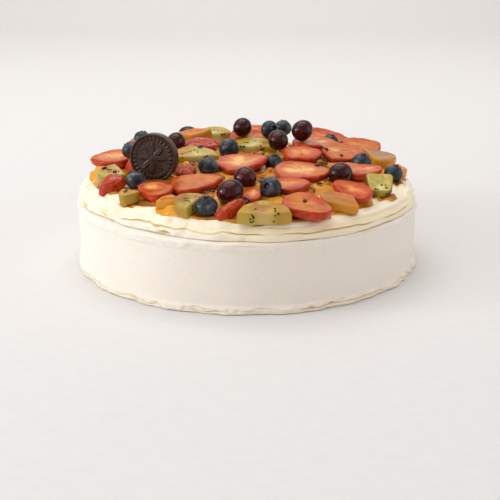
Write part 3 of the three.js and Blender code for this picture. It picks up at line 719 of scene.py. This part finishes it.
STRAWBERRIES = {
    # node: cut, heading, (length, width, thickness), shape seed, share stained by juice, how pale
    "strawberry_front_small": ("slice", 84, (21, 12, 5), 1, 0.6, 0.0),
    "strawberry_front_wedge": ("wedge", 34, (24, 9, 7), 15, 0.0, 0.0),
    "strawberry_front": ("slice", -34, (35, 28, 9), 20, 0.95, 0.0),
    "strawberry_left_heel": ("heel", 226, (22, 16, 8), 24, 0.0, 0.0),
    "strawberry_left_tip": ("slice", 176, (34, 29, 9), 25, 0.5, 0.05),
    "strawberry_back_left": ("heel", 128, (38, 30, 14), 26, 0.2, 0.0),
    "strawberry_back": ("slice", 4, (46, 28, 12), 29, 0.4, -0.15),
    "strawberry_back_right": ("slice", -28, (44, 26, 9), 30, 0.2, -0.3),
    "strawberry_far_right": ("slice", 150, (34, 28, 8), 32, 0.9, 0.0),
    "strawberry_left_middle": ("slice", 142, (27, 19, 8.5), 33, 0.75, 0.0),
    "strawberry_front_flat": ("slice", 12, (25, 23, 7), 34, 0.6, -0.15),
    "strawberry_centre": ("slice", 8, (37, 35, 8), 35, 0.2, 0.3),
    "strawberry_left_skin": ("heel", 22, (34, 32, 10), 36, 0.3, 0.0),
    "strawberry_middle_right": ("slice", 18, (34, 28, 8), 39, 0.3, -0.1),
    "strawberry_right_long": ("slice", 2, (41, 34, 8), 40, 0.65, 0.2),
    "strawberry_back_middle": ("slice", -22, (37, 31, 10), 41, 0.3, -0.15),
    "strawberry_cross_cut": ("cross_cut", 20, (31, 31, 8), 42, 0.2, 0.1),
    "strawberry_right_middle": ("slice", 0, (35, 35, 8), 43, 0.85, 0.0),
    "strawberry_front_long": ("slice", 20, (38, 28, 8), 44, 0.95, 0.0),
    "strawberry_right_front": ("slice", 146, (30, 21, 7.5), 46, 0.2, -0.2),
    "strawberry_skin_strip": ("heel", 72, (21, 15, 8), 47, 0.2, 0.0),
    "strawberry_back_skin": ("heel", -6, (38, 28, 10), 48, 0.1, 0.0),
    "strawberry_back_strip": ("slice", 10, (38, 26, 7.5), 49, 0.3, 0.0),
}
CUT_ROWS, CUT_COLUMNS = 44, 104
SHARP_CORNER, SOFT_CORNER = 0.6, 1.3        # how far a cut edge is rounded off
SWELL_SIZE, DENT_SIZE, DENT_DEPTH = 9, 3.5, 0.25
SAME_FACE = 0.97                            # the cosine of 14 degrees
FLAT_AT = 0.9                               # where a half slice is cut, as a share
FIBRE, JUICE_POOL, PORE = 3.125, 14.3, 3.03


def berry_outline(angle):
    """Lengthwise through a strawberry: x is the cosine, and the half width is the root of 1
    less a power of x, blunt at the shoulder and drawn in to the tip at +X."""
    x = np.cos(angle)
    full = np.sqrt(np.maximum(0, 1 - np.abs(x) ** np.where(x < 0, 2.8, 1.9)))
    return x, np.sign(np.sin(angle)) * full * (1 - 0.26 * x)


def lobed_outline(angle):
    """Across a strawberry: a circle with five soft lobes and three softer ones."""
    reach = 0.95 + 0.05 * np.cos(5 * angle) + 0.03 * np.cos(3 * angle + 1)
    return reach * np.cos(angle), reach * np.sin(angle)


def half_moon_outline(angle):
    """Half a round slice: an arc, and one straight cut towards -Y."""
    x, y = np.cos(angle), np.sin(angle)
    straight = np.sign(x) * np.abs(x) ** 0.6
    return (np.where(y > 0, x, straight),
            np.where(y > 0, 2 * FLAT_AT * y - FLAT_AT, 0.1 * y - FLAT_AT))


def lozenge_outline(angle):
    """A slanted block with blunt corners on its axes: |x| ** p + |y| ** p = 1, sheared."""
    x, y = np.cos(angle), np.sin(angle)
    reach = (np.abs(x) ** 1.22 + np.abs(y) ** 1.22) ** (-1 / 1.22)
    return reach * (x + 0.15 * y), reach * y


def block_outline(angle):
    """A four-sided block with its corners at 45 degrees: |x| ** 8 + |y| ** 8 = 1, sheared and
    a little wider at +Y."""
    x, y = np.cos(angle), np.sin(angle)
    reach = 0.93 * (np.abs(x) ** 8 + np.abs(y) ** 8) ** (-1 / 8)
    return reach * (x + 0.14 * y) * (0.92 + 0.12 * reach * y), reach * y


def skin_under(t):
    """A slice whose skin is its underside and rim, cut flat on top."""
    return [[0, -t / 2], [0.7, -0.44 * t], [0.95, -0.04 * t], [1, 0.36 * t], [0.93, t / 2],
            [0, 0.42 * t]]


def skin_over(t):
    """A heel: cut flat underneath, with its skin domed over the top."""
    return [[0, -t / 2], [0.94, -t / 2], [1, -0.3 * t], [0.84, 0.18 * t], [0.5, 0.42 * t],
            [0, t / 2]]


def cut_both_sides(t):
    """A slice of peeled fruit, flat on both faces."""
    return [[0, -t / 2], [0.9, -t / 2], [1, -0.34 * t], [1, 0.34 * t], [0.92, t / 2],
            [0, 0.44 * t]]


CUTS = {
    # cut: outline, profile, the profile's corner where the cut face begins
    "slice": (berry_outline, skin_under, 4),
    "heel": (berry_outline, skin_over, 1),
    "wedge": (berry_outline, skin_over, 1),
    "cross_cut": (lobed_outline, skin_under, 4),
    "half_moon": (half_moon_outline, cut_both_sides, 4),
    "lozenge": (lozenge_outline, cut_both_sides, 4),
    "block": (block_outline, cut_both_sides, 4),
}


def rounded(profile, scale, radius):
    """A profile of [share, height] whose corners are rounded: each corner gives way to a
    curve between two points a radius away from it, along its two sides."""
    p = np.array(profile, float) * [scale, 1]
    out = [p[:1]]
    for before, corner, after in zip(p[:-2], p[1:-1], p[2:]):
        one, two = before - corner, after - corner
        n, m = np.hypot(*one), np.hypot(*two)
        start = corner + one / n * min(radius, 0.45 * n)
        end = corner + two / m * min(radius, 0.45 * m)
        t = np.linspace(0, 1, 5)[:, None]
        out.append((1 - t) ** 2 * start + 2 * t * (1 - t) * corner + t ** 2 * end)
    return np.concatenate(out + [p[-1:]])


def cut_piece(kind, size, seed):
    """A cut piece: a turned profile whose share of 1 is carried out to an outline, a little
    uneven and curled. Returns its points, its share, its angles and how far each point is
    past the corner where the cut face begins, in millimetres."""
    length, width, thickness = size
    outline, profile, corner = CUTS[kind]
    shape = profile(thickness)
    scale = (length + width) / 4
    sharp = outline in (berry_outline, lobed_outline, block_outline)
    curve = rounded(shape, scale, SHARP_CORNER if sharp else SOFT_CORNER)
    lengths = np.hypot(*np.diff(curve, axis=0).T)
    far = np.concatenate([[0], np.cumsum(lengths)])
    # The flat stretches get fewer rows than the rim.
    dense = np.concatenate([[0], np.cumsum(lengths * np.where(lengths > 4, 0.5, 1))])
    at = np.interp(np.linspace(0, dense[-1], CUT_ROWS + 2)[1:-1], dense, far)
    r, z = np.interp(at, far, curve[:, 0]), np.interp(at, far, curve[:, 1])
    mark = np.array(shape[corner]) * [scale, 1]
    past = at - far[np.argmin(np.hypot(*(curve - mark).T))]
    a = around(CUT_COLUMNS)
    x, y = outline(a)
    share = (r / scale)[:, None]
    # Strawberries grow less evenly than a peeled slice is cut.
    wild = 1 if outline in (berry_outline, lobed_outline) else 0.4
    uneven = 1 + wild * (0.045 * wander(a, seed, 2) + 0.02 * wander(a, seed + 5, 5))
    along = share * x * uneven
    curl = 0.06 * thickness * wander(seed, seed)
    points = np.stack([along * length / 2, share * y * uneven * width / 2,
                       z[:, None] + curl * (along ** 2 - 0.4) * 2], -1)
    # A heel keeps the smoother form of the whole berry.
    swell = 0.55 if profile == skin_over else 1
    for axis, pull in enumerate((0.5, 0.5, 0.35)):
        points[..., axis] += swell * pull * clouds(points, SWELL_SIZE, 90 * seed + axis)
    points[..., 2] += DENT_DEPTH * clouds(points, DENT_SIZE, 90 * seed + 3)
    return points, share + 0 * a, a + 0 * share, past[:, None] + 0 * a


def facing(node):
    """The way a cut piece faces: the triangle direction that gathers the most area within
    14 degrees of it, up or down, turned to point up."""
    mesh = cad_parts[node].data
    normals, areas = np.empty(len(mesh.polygons) * 3), np.empty(len(mesh.polygons))
    mesh.polygons.foreach_get("normal", normals)
    mesh.polygons.foreach_get("area", areas)
    normals = normals.reshape(-1, 3)
    cosines = normals @ normals.T
    best = np.argmax((np.abs(cosines) > SAME_FACE) @ areas)
    near = np.abs(cosines[best]) > SAME_FACE
    mean = (normals * (np.sign(cosines[best]) * areas * near)[:, None]).sum(0)
    return mean / np.linalg.norm(mean) * (1 if mean[2] > 0 else -1)


def spokes(angle, seed, count):
    """Uneven rays round a middle, from -1 to 1: random values at count places on the
    circle, blended between them."""
    drawn = np.random.default_rng(seed).uniform(-1, 1, count)
    at = angle / (2 * math.pi) * count
    low = np.floor(at).astype(int)
    part = at - low
    part = part * part * (3 - 2 * part)
    return drawn[low % count] * (1 - part) + drawn[(low + 1) % count] * part


flesh, tree = material("wet_cut_strawberry")
# Wet translucent flesh and a thin glossy skin; the juice on it gives sharp lights.
heart = add(tree, "Attribute", attribute_name="heart")
rind = add(tree, "Attribute", attribute_name="rind")
juice = add(tree, "Attribute", attribute_name="juice")
place = add(tree, "TexCoord")
fibre = add(tree, "TexNoise", {"Vector": place.outputs["Object"], "Scale": 1 / (FIBRE * MM),
                               "Detail": 3.0})
inside = add(tree, "ValToRGB", {"Fac": heart.outputs["Fac"]},
             stops=[(0.0, "#b83a0a"), (0.3, "#cc5818"), (0.6, "#de8838"), (1.0, "#efbe7c")])
pooled = add(tree, "TexNoise", {"Vector": place.outputs["Object"],
                                "Scale": 1 / (JUICE_POOL * MM)})
glaze = add(tree, "ValToRGB", {"Fac": pooled.outputs["Fac"]},
            stops=[(0.35, "#b4480a"), (0.65, "#ce7818")])
stained = add(tree, "Mix", {"Factor": juice.outputs["Fac"], 6: inside.outputs["Color"],
                            7: glaze.outputs["Color"]}, data_type="RGBA")
outside = add(tree, "ValToRGB", {"Fac": fibre.outputs["Fac"]},
              stops=[(0.3, "#a02606"), (0.7, "#c84410")])
whole = add(tree, "Mix", {"Factor": rind.outputs["Fac"], 6: stained.outputs[2],
                          7: outside.outputs["Color"]}, data_type="RGBA")
cells = add(tree, "TexVoronoi", {"Vector": place.outputs["Object"], "Scale": 1 / (PORE * MM)},
            feature="SMOOTH_F1")
bumps = add(tree, "Math", {0: cells.outputs["Distance"], 1: rind.outputs["Fac"]},
            operation="MULTIPLY")
both = add(tree, "Math", {0: bumps.outputs[0], 1: fibre.outputs["Fac"], 2: 0.5},
           operation="MULTIPLY_ADD")
relief = add(tree, "Bump", {"Height": both.outputs[0], "Strength": 0.22,
                            "Distance": 0.5 * MM})
dull = add(tree, "MapRange", {"Value": rind.outputs["Fac"], "To Min": 0.24, "To Max": 0.09})
skin = add(tree, "BsdfPrincipled", {
    "Base Color": whole.outputs[2], "Roughness": dull.outputs[0], "IOR": 1.36,
    "Normal": relief.outputs[0], "Subsurface Weight": 0.2, "Subsurface Scale": 3 * MM,
    "Coat Weight": 0.1, "Coat Roughness": 0.1})
add(tree, "OutputMaterial", {"Surface": skin.outputs[0]})


def seeds(name, at, up, along, size, finish, tiers=5, sides=7):
    """Many small seeds in one mesh. Each is a ball of a few rings of points, stretched to a size
    (length, width, thickness), one for all or one for each, with its length along one way and
    its thickness along up."""
    at, up, along = (np.asarray(v, float).reshape(-1, 3) for v in (at, up, along))
    up = up / np.linalg.norm(up, axis=1, keepdims=True)
    side = np.cross(up, along)
    side = side / np.linalg.norm(side, axis=1, keepdims=True)
    along = np.cross(side, up)
    top = 90 - 120 / tiers
    tilt = np.radians(np.linspace(-top, top, tiers))[:, None]
    ball = polar(np.cos(tilt), around(sides), np.sin(tilt)).reshape(-1, 3)
    ball = np.concatenate([ball, [[0, 0, -1], [0, 0, 1]]])
    start = len(ball) * np.arange(len(at))[:, None, None]
    ball = ball * np.asarray(size, float).reshape(-1, 1, 3) / 2
    points = (at[:, None] + ball[..., :1] * along[:, None] + ball[..., 1:2] * side[:, None]
              + ball[..., 2:] * up[:, None]).reshape(-1, 3)
    quads, fans = skin_faces(tiers, sides)
    return made_of(name, points, (start + quads).reshape(-1, 4).tolist()
                   + (start + fans).reshape(-1, 3).tolist(), finish)


def outward(rings):
    """The outward direction at each point of rings: across the columns, then up the rows."""
    across = np.roll(rings, -1, 1) - np.roll(rings, 1, 1)
    upward = np.gradient(rings, axis=0)
    n = np.cross(across, upward)
    return n / np.maximum(np.linalg.norm(n, axis=-1, keepdims=True), 1e-9)


SKINS = ("heel", "wedge")                                       # cuts with their skin on top
SEEDED = ("strawberry_back_skin", "strawberry_skin_strip")      # heels with plump seeds
PIP_SPACING, PIP_SIZE, PLUMP = 3.6, (1.05, 0.65, 0.4), 1.45
PIP_MOTTLE = 2.5

pick = np.random.default_rng(12)
pip_at, pip_up, pip_along, pip_size = [], [], [], []
for node, (kind, heading, size, seed, stain, pale) in STRAWBERRIES.items():
    points, share, angle, past = cut_piece(kind, size, seed)
    on_cut = smooth(-past if kind in SKINS else past, -0.4, 0.4)
    # The pale core lies along the berry's axis, or in the middle of the one cut across.
    x, y = (share * part for part in CUTS[kind][0](angle))
    if kind == "cross_cut":
        core = 0.75 * (1 - smooth(share + 0.2 * spokes(angle, seed, 9), 0.1, 0.6))
    else:
        core = bell(y, 0.26) * smooth(x, -1.05, -0.6) * (1 - smooth(x, 0.3, 0.85))
    rays = spokes(np.arctan2(y, 0.6 * x), seed, 38) + 0.5 * spokes(angle, seed + 30, 90)
    ripe = 1 - smooth(share + 0.08 * rays, 0.3, 1.0)
    rings = laid(points, node, turned_to(facing(node), heading))
    heart = ((0.45 + pale) * ripe + 0.35 * core + 0.25 * rays * ripe
             + 0.25 * clouds(rings, 6, seed + 200))
    wet = smooth(clouds(rings, 11, seed) + 1.3 * stain - 0.75, -0.1, 0.5)
    piece = closed(node + "_cut", rings, flesh, heart=np.clip(heart, 0, 1),
                   rind=1 - on_cut, juice=on_cut * wet * 0.9)
    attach(piece, "root")
    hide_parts(node)
    # Pips stand in rows round the skin, each row half a space on from the last.
    away, along_skin = outward(rings), np.gradient(rings, axis=0)
    skin_rows = np.flatnonzero((on_cut[:, 0] < 0.1) & (share[:, 0] > 0.12))
    for n, row in enumerate(skin_rows[::4 if kind in SKINS else 9]):
        round_it = np.linalg.norm(np.roll(rings[row], -1, 0) - rings[row], axis=1)
        count = max(3, round(round_it.sum() / PIP_SPACING))
        far = np.concatenate([[0], np.cumsum(round_it)[:-1]]) / round_it.sum()
        places = (np.arange(count) + 0.5 * (n % 2) + 0.25 * pick.uniform(-1, 1, count)) / count
        columns = np.searchsorted(far, places % 1) % len(far)
        row = np.clip(row + pick.integers(-1, 2, count), skin_rows[0], skin_rows[-1])
        seen = away[row, columns, 2] > -0.55
        row, columns = row[seen], columns[seen]
        pip_at.append(rings[row, columns])
        pip_up.append(away[row, columns])
        pip_along.append(along_skin[row, columns] + 1e-6)
        plump = PLUMP if node in SEEDED else 1.0
        pip_size.append(np.outer(plump * pick.uniform(0.8, 1.1, len(columns)), PIP_SIZE))

pip, tree = material("strawberry_pip")
# Hard little straw-coloured seeds, each in its dimple.
place = add(tree, "TexCoord")
mottle = add(tree, "TexNoise", {"Vector": place.outputs["Object"],
                                "Scale": 1 / (PIP_MOTTLE * MM)})
hue = add(tree, "ValToRGB", {"Fac": mottle.outputs["Fac"]},
          stops=[(0.35, "#8c3010"), (0.65, "#a85422")])
skin = add(tree, "BsdfPrincipled", {"Base Color": hue.outputs["Color"], "Roughness": 0.5})
add(tree, "OutputMaterial", {"Surface": skin.outputs[0]})

pips = seeds("strawberry_pips", np.concatenate(pip_at), np.concatenate(pip_up),
             np.concatenate(pip_along), np.concatenate(pip_size), pip)
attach(pips, "root")

# ---------------------------------------------------------------------------
# The green kiwi.
# Peeled kiwi cut into half slices, and one cut to a block: moist translucent green
# flesh that lightens to a cream-coloured core, with rays and tiny black seeds
# between the two.

KIWIS = {
    # node: cut, heading, (length, width, thickness), shape seed, share stained by juice
    "kiwi_front": ("half_moon", 2, (34, 19, 9.5), 16, 0.95),
    "kiwi_front_left": ("half_moon", 62, (24, 17, 9), 17, 0.75),
    "kiwi_left": ("half_moon", 145, (15, 12, 8), 18, 0.6),
    "kiwi_far_left": ("half_moon", 112, (30, 20, 8), 19, 0.5),
    "kiwi_right": ("block", 8, (22, 20, 7), 22, -0.2),
    "kiwi_back": ("half_moon", 6, (27, 22, 12), 28, 0.4),
    "kiwi_middle_left": ("half_moon", 10, (38, 28, 8), 37, 0.8),
    "kiwi_middle": ("half_moon", -4, (38, 26, 9), 38, 0.8),
}
KIWI_FIBRE, KIWI_POOL = 4.17, 13.33
KIWI_RAYS = 40
SEEDS_AT, SEEDS_SPREAD = 0.42, 0.13     # shares of the way out from the core to the peel
SEEDS_ON_TOP, SEEDS_ON_SIDE = 9, 12
KIWI_SEED_SIZE, SEED_MOTTLE = (1.8, 1.0, 0.6), 3.33

green, tree = material("wet_green_kiwi")
# Jelly-like flesh: light goes well into it, and its wet face mirrors the lamps.
core = add(tree, "Attribute", attribute_name="core")
juice = add(tree, "Attribute", attribute_name="juice")
place = add(tree, "TexCoord")
fibre = add(tree, "TexNoise", {"Vector": place.outputs["Object"],
                               "Scale": 1 / (KIWI_FIBRE * MM), "Detail": 3.0})
inside = add(tree, "ValToRGB", {"Fac": core.outputs["Fac"]},
             stops=[(0.0, "#6e4a18"), (0.25, "#96802a"), (0.6, "#c2b04a"), (1.0, "#e4dca6")])
pooled = add(tree, "TexNoise", {"Vector": place.outputs["Object"],
                                "Scale": 1 / (KIWI_POOL * MM)})
glaze = add(tree, "ValToRGB", {"Fac": pooled.outputs["Fac"]},
            stops=[(0.35, "#9c5e0c"), (0.65, "#cc9018")])
stained = add(tree, "Mix", {"Factor": juice.outputs["Fac"], 6: inside.outputs["Color"],
                            7: glaze.outputs["Color"]}, data_type="RGBA")
relief = add(tree, "Bump", {"Height": fibre.outputs["Fac"], "Strength": 0.2,
                            "Distance": 0.5 * MM})
skin = add(tree, "BsdfPrincipled", {
    "Base Color": stained.outputs[2], "Roughness": 0.22, "IOR": 1.36,
    "Normal": relief.outputs[0], "Subsurface Weight": 0.4, "Subsurface Scale": 4 * MM,
    "Subsurface Radius": (0.9, 1.0, 0.3), "Coat Weight": 0.1, "Coat Roughness": 0.05})
add(tree, "OutputMaterial", {"Surface": skin.outputs[0]})

kiwi_at, kiwi_up, kiwi_along = [], [], []
for node, (kind, heading, size, seed, stain) in KIWIS.items():
    points, share, _, past = cut_piece(kind, size, seed)
    # How far each point is from the core, which lies in the middle of the straight cut.
    across = points[..., 0] / (size[0] / 2)
    along = (points[..., 1] / (size[1] / 2) + FLAT_AT) / (2 * FLAT_AT)
    rho, bearing = np.hypot(across, along), np.arctan2(along, across)
    peel = smooth(share, 0.88, 0.97) * smooth(along, 0.02, 0.14)
    rays = spokes(bearing, seed, KIWI_RAYS) * (1 - peel)
    pale = 0.46 + 0.36 * (1 - smooth(rho + 0.05 * rays, 0.1, 0.6)) - 0.15 * peel
    pale = pale + 0.08 * rays * smooth(rho, 0.1, 0.4)
    top = smooth(past, -1.0, 0.6)
    if kind == "block":
        pale = pale + 0.02 - 0.45 * (1 - top)       # its sides are cut nearer the peel
    turn = turned_to(facing(node), heading)
    rings = laid(points, node, turn)
    wet = smooth(clouds(rings, 12, seed) + 1.3 * stain - 0.6, -0.1, 0.5)
    piece = closed(node + "_cut", rings, green, core=np.clip(pale, 0, 1),
                   juice=np.clip(wet * (0.45 + 0.4 * top), 0, 1))
    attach(piece, "root")
    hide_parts(node)
    # Seeds lie in a ring round the core, on the upper face and on the straight cut, with
    # their length along the rays.
    rng = np.random.default_rng(seed)
    away = outward(rings)
    outwards = np.stack([np.cos(bearing), np.sin(bearing), 0.7 + 0 * bearing], -1) @ turn.T
    ring = (np.abs(rho - SEEDS_AT) < SEEDS_SPREAD) & (clouds(rings, 5, seed + 60) > -0.1)
    on_top = ring & (past > 0.8)
    on_side = ring & (past < -0.6) & (past > 1.5 - size[2]) & (along < 0.06)
    for face, count in ((on_top, SEEDS_ON_TOP), (on_side, SEEDS_ON_SIDE)):
        rows, columns = np.nonzero(face)
        if not len(rows):
            continue
        drawn = rng.choice(len(rows), min(count, len(rows)), replace=False)
        rows, columns = rows[drawn], columns[drawn]
        kiwi_at.append(rings[rows, columns])
        kiwi_up.append(away[rows, columns])
        kiwi_along.append(outwards[rows, columns] + 0.3 * rng.normal(size=(len(rows), 3)))

black, tree = material("wet_black_seed")
# Small hard seeds with a wet shine.
place = add(tree, "TexCoord")
mottle = add(tree, "TexNoise", {"Vector": place.outputs["Object"],
                                "Scale": 1 / (SEED_MOTTLE * MM)})
hue = add(tree, "ValToRGB", {"Fac": mottle.outputs["Fac"]},
          stops=[(0.35, "#0f0c0a"), (0.7, "#241c16")])
skin = add(tree, "BsdfPrincipled", {"Base Color": hue.outputs["Color"], "Roughness": 0.25})
add(tree, "OutputMaterial", {"Surface": skin.outputs[0]})

kiwi_seeds = seeds("kiwi_seeds", np.concatenate(kiwi_at), np.concatenate(kiwi_up),
                   np.concatenate(kiwi_along), KIWI_SEED_SIZE, black)
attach(kiwi_seeds, "root")

# ---------------------------------------------------------------------------
# The golden fruit.
# Peeled golden kiwi in three slanted blocks and two half slices: amber flesh,
# paler on its cut sides, under a coat of juice. One half slice is less ripe.

GOLDEN = {
    # node: cut, heading, (length, width, thickness), shape seed, how unripe and olive
    "golden_front": ("lozenge", -42, (32, 22, 7), 21, 0.2),
    "golden_right": ("lozenge", 80, (22, 14, 7), 23, 0.0),
    "golden_back": ("lozenge", 14, (31, 18, 13), 27, -0.5),
    "golden_far_right": ("half_moon", -74, (34, 23, 9), 31, 0.6),
    "golden_front_left": ("half_moon", -20, (15, 11, 7), 45, -0.2),
}
GOLDEN_FIBRE, OLIVE_PATCH = 5.0, 7

amber, tree = material("wet_golden_kiwi")
# The same jelly as green kiwi, in amber.
rim = add(tree, "Attribute", attribute_name="rim")
unripe = add(tree, "Attribute", attribute_name="unripe")
place = add(tree, "TexCoord")
fibre = add(tree, "TexNoise", {"Vector": place.outputs["Object"],
                               "Scale": 1 / (GOLDEN_FIBRE * MM), "Detail": 3.0})
flecked = add(tree, "ValToRGB", {"Fac": fibre.outputs["Fac"]},
              stops=[(0.35, "#c0660e"), (0.7, "#d28424")])
ripened = add(tree, "Mix", {"Factor": unripe.outputs["Fac"], 6: flecked.outputs["Color"],
                            7: linear("#84661c")}, data_type="RGBA")
whole = add(tree, "Mix", {"Factor": rim.outputs["Fac"], 6: ripened.outputs[2],
                          7: linear("#d0902a")}, data_type="RGBA")
relief = add(tree, "Bump", {"Height": fibre.outputs["Fac"], "Strength": 0.2,
                            "Distance": 0.5 * MM})
skin = add(tree, "BsdfPrincipled", {
    "Base Color": whole.outputs[2], "Roughness": 0.22, "IOR": 1.36,
    "Normal": relief.outputs[0], "Subsurface Weight": 0.3, "Subsurface Scale": 4 * MM,
    "Subsurface Radius": (1.0, 0.7, 0.25), "Coat Weight": 0.1, "Coat Roughness": 0.05})
add(tree, "OutputMaterial", {"Surface": skin.outputs[0]})

for node, (kind, heading, size, seed, olive) in GOLDEN.items():
    points, _, _, past = cut_piece(kind, size, seed)
    rings = laid(points, node, turned_to(facing(node), heading))
    tint = np.clip(olive + 0.35 * clouds(rings, OLIVE_PATCH, seed), 0, 1)
    piece = closed(node + "_cut", rings, amber, rim=1 - smooth(past, -0.8, 0.4), unripe=tint)
    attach(piece, "root")
    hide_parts(node)

# ---------------------------------------------------------------------------
# The passion fruit pulp.
# Spooned over last: a glossy amber gel that pooled between the pieces and ran out
# from under them in a few drips. Soft sacs of juice lie in it, and most of them
# show a hard black seed.

DRIPS = [
    # place over the cream, radius and height
    (-48, -95, 9, 2.8), (-42, -101, 8, 2.4), (-111, 4, 9, 4.5), (-114, 8, 8, 3.5),
    (117, 9, 7, 2.0), (-58, 98, 7, 0.8), (34, 114, 6, 0.8), (92, 70, 7, 0.8),
    (54, -58, 12, 1.2), (23, -84, 9, 1.0), (102, 6, 8, 1.0), (-20, -78, 10, 1.0),
    (-73, -62, 7, 0.8), (-109, -13, 5, 1.2),
]
# The gel is GEL_DEPTH deep from a start below the cream's face, and deeper in the middle.
GEL_START, GEL_DEPTH, GEL_IN_THE_MIDDLE = -1.2, 2.8, 2.0
# Inside the cream lie its underside and, where no gel shows, its top.
GEL_UNDER_ROWS, GEL_TOP_ROWS, GEL_UNDER, GEL_LEAST = 12, 140, 4, 3
SAC_SPACING = 5.88

r = np.concatenate([np.linspace(3, 118, GEL_UNDER_ROWS),
                    np.linspace(118.5, 2.5, GEL_TOP_ROWS)])[:, None]
a = around(CREAM_COLUMNS)
ground = polar(r + cream_spread(r, a), a, 0 * r) + AXIS
inner = 1 - smooth(r, POOL_FULL, POOL_EDGE)

# Gel lies where the fruit crowds, all over the middle and in the drips. It stays inside the
# cream elsewhere.
near = crowded(ground) - 0.25 * (1 - inner)
near = near + POOL_SHARE * inner + 0.06 * clouds(ground, 9, 61)
drip, tall = 0, 0
wobble = 1 + 0.4 * clouds(ground, 7, 69)
for x, y, radius, height in DRIPS:
    away = ((ground[..., 0] - x) ** 2 + (ground[..., 1] - y) ** 2) * wobble / radius ** 2
    drip = np.maximum(drip, np.exp(-away))
    tall = np.maximum(tall, height * smooth(np.exp(-away), 0.3, 1.0))
near = np.maximum(near, 1.15 * drip)
depth = smooth(near, 0.4, 0.95) ** 0.6 * (GEL_DEPTH + GEL_IN_THE_MIDDLE * inner)
level = GEL_START + depth + tall
level = level + inner * (0.9 * clouds(ground, 8, 62) + 0.45 * clouds(ground, 4, 63))
low = UNDER + cream_height(r)
under = np.arange(len(r))[:, None] < GEL_UNDER_ROWS
rings = ground.copy()
rings[..., 2] = np.where(under, low - GEL_UNDER,
                         np.maximum(UNDER + cream_top(r, a) + level, low - GEL_LEAST))
# The tint runs from gold in the drips to olive brown in the middle, and a red mark follows the
# strawberries; both are partly the pulp's own colour and juice stain and partly painted shade of
# the gaps between the pieces.
tint = (0.32 + 0.6 * clouds(rings, 11, 64) + 0.25 * clouds(rings, 5, 65) + 0.15 * inner
        - 0.6 * smooth(drip, 0.2, 0.6) * (1 - inner))
red = smooth(crowded(rings, "strawberry") + 0.3 * clouds(rings, 7, 66), 0.3, 0.8) * inner

gel, tree = material("passion_fruit_gel")
# Clear amber gel over fruit: deep gloss, gold where it is thin and olive brown where it is deep,
# and red with strawberry juice beside strawberries. The darkest olive brown and the red also
# stand for painted shade in the gaps between the pieces.
tone = add(tree, "Attribute", attribute_name="tint")
place = add(tree, "TexCoord")
cells = add(tree, "TexVoronoi", {"Vector": place.outputs["Object"],
                                 "Scale": 1 / (SAC_SPACING * MM)}, feature="SMOOTH_F1")
hue = add(tree, "ValToRGB", {"Fac": tone.outputs["Fac"]},
          stops=[(0.05, "#de9a28"), (0.45, "#b86c14"), (0.75, "#8e5a14"), (1.0, "#5e3e0e")])
red_stain_and_shade_node = add(tree, "Attribute", attribute_name="red")
mixed = add(tree, "Mix", {"Factor": red_stain_and_shade_node.outputs["Fac"], 6: hue.outputs["Color"],
                          7: linear("#84240a")}, data_type="RGBA")
relief = add(tree, "Bump", {"Height": cells.outputs["Distance"], "Strength": 0.2,
                            "Distance": 1 * MM})
skin = add(tree, "BsdfPrincipled", {
    "Base Color": mixed.outputs[2], "Roughness": 0.14, "IOR": 1.33,
    "Normal": relief.outputs[0], "Subsurface Weight": 0.25, "Subsurface Scale": 4 * MM,
    "Subsurface Radius": (1.0, 0.6, 0.2)})
add(tree, "OutputMaterial", {"Surface": skin.outputs[0]})

pulp = closed("passion_fruit_gel", rings, gel, tint=np.clip(tint, 0, 0.8), red=0.6 * red)
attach(pulp, "root")

# Seeds at chosen places, and sacs and more seeds scattered over the middle, each set down
# on whatever lies there.
SEED_PLACES = [
    (38, -102), (58, 31), (53, 42), (51, -24), (2, 33), (10, -43), (-108, -14), (-95, -26),
    (52, -96), (28, 43), (72, 18), (-36, 33), (-45, 5), (-23, -74), (16, -3), (75, -60),
    (0, 30), (5, 35), (61, 27), (49, 44), (7, -45), (13, -40), (54, -22), (-104, -16),
]
SEED_SIZE, SAC_SIZE = (4.6, 3.0, 2.0), (7.6, 5.6, 4.2)
SCATTERED, SCATTER_RADIUS = 330, 98
ABOVE_ALL, FLAT_ENOUGH = 150, 0.5       # the height they come from, the least normal z
SAC_SUNK, SEED_IN_SAC, SEED_ON_FRUIT = -0.6, 0.9, 0.45      # how far over the surface

rng = np.random.default_rng(7)
scattered = polar(SCATTER_RADIUS * np.sqrt(rng.random(SCATTERED)),
                  rng.random(SCATTERED) * 2 * math.pi, 0)[:, :2]
graph = bpy.context.evaluated_depsgraph_get()
seed_at, seed_up, sac_at, sac_up = [], [], [], []
for n, (x, y) in enumerate([*SEED_PLACES, *scattered]):
    hit, spot, normal, _, struck, _ = bpy.context.scene.ray_cast(
        graph, Vector((x, y, ABOVE_ALL)) * MM, Vector((0, 0, -1)))
    if not hit or normal.z < FLAT_ENOUGH:
        continue
    spot, normal = np.array(spot) / MM, np.array(normal)
    if struck == pulp:
        # A sac lies in the gel, and two in three show their seed.
        sac_at.append(spot + SAC_SUNK * normal)
        sac_up.append(normal)
        if n % 3:
            seed_at.append(spot + SEED_IN_SAC * normal)
            seed_up.append(normal)
    elif n < len(SEED_PLACES) and struck not in (disc, cream) and "_berry" not in struck.name:
        seed_at.append(spot + SEED_ON_FRUIT * normal)
        seed_up.append(normal)

headings = rng.random(len(seed_at)) * 2 * math.pi
passion_seeds = seeds("passion_fruit_seeds", seed_at, seed_up,
                      polar(1, headings, 0 * headings), SEED_SIZE, black)
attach(passion_seeds, "root")

headings = rng.random(len(sac_at)) * 2 * math.pi
sizes = np.outer(rng.uniform(0.75, 1.1, len(sac_at)), SAC_SIZE)
sacs = seeds("passion_fruit_sacs", sac_at, sac_up, polar(1, headings, 0 * headings), sizes, gel,
             tiers=7, sides=12)
tint = rng.uniform(0.15, 0.75, len(sac_at))
marked(sacs, "tint", np.repeat(tint, len(sacs.data.vertices) // len(sac_at)))
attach(sacs, "root")
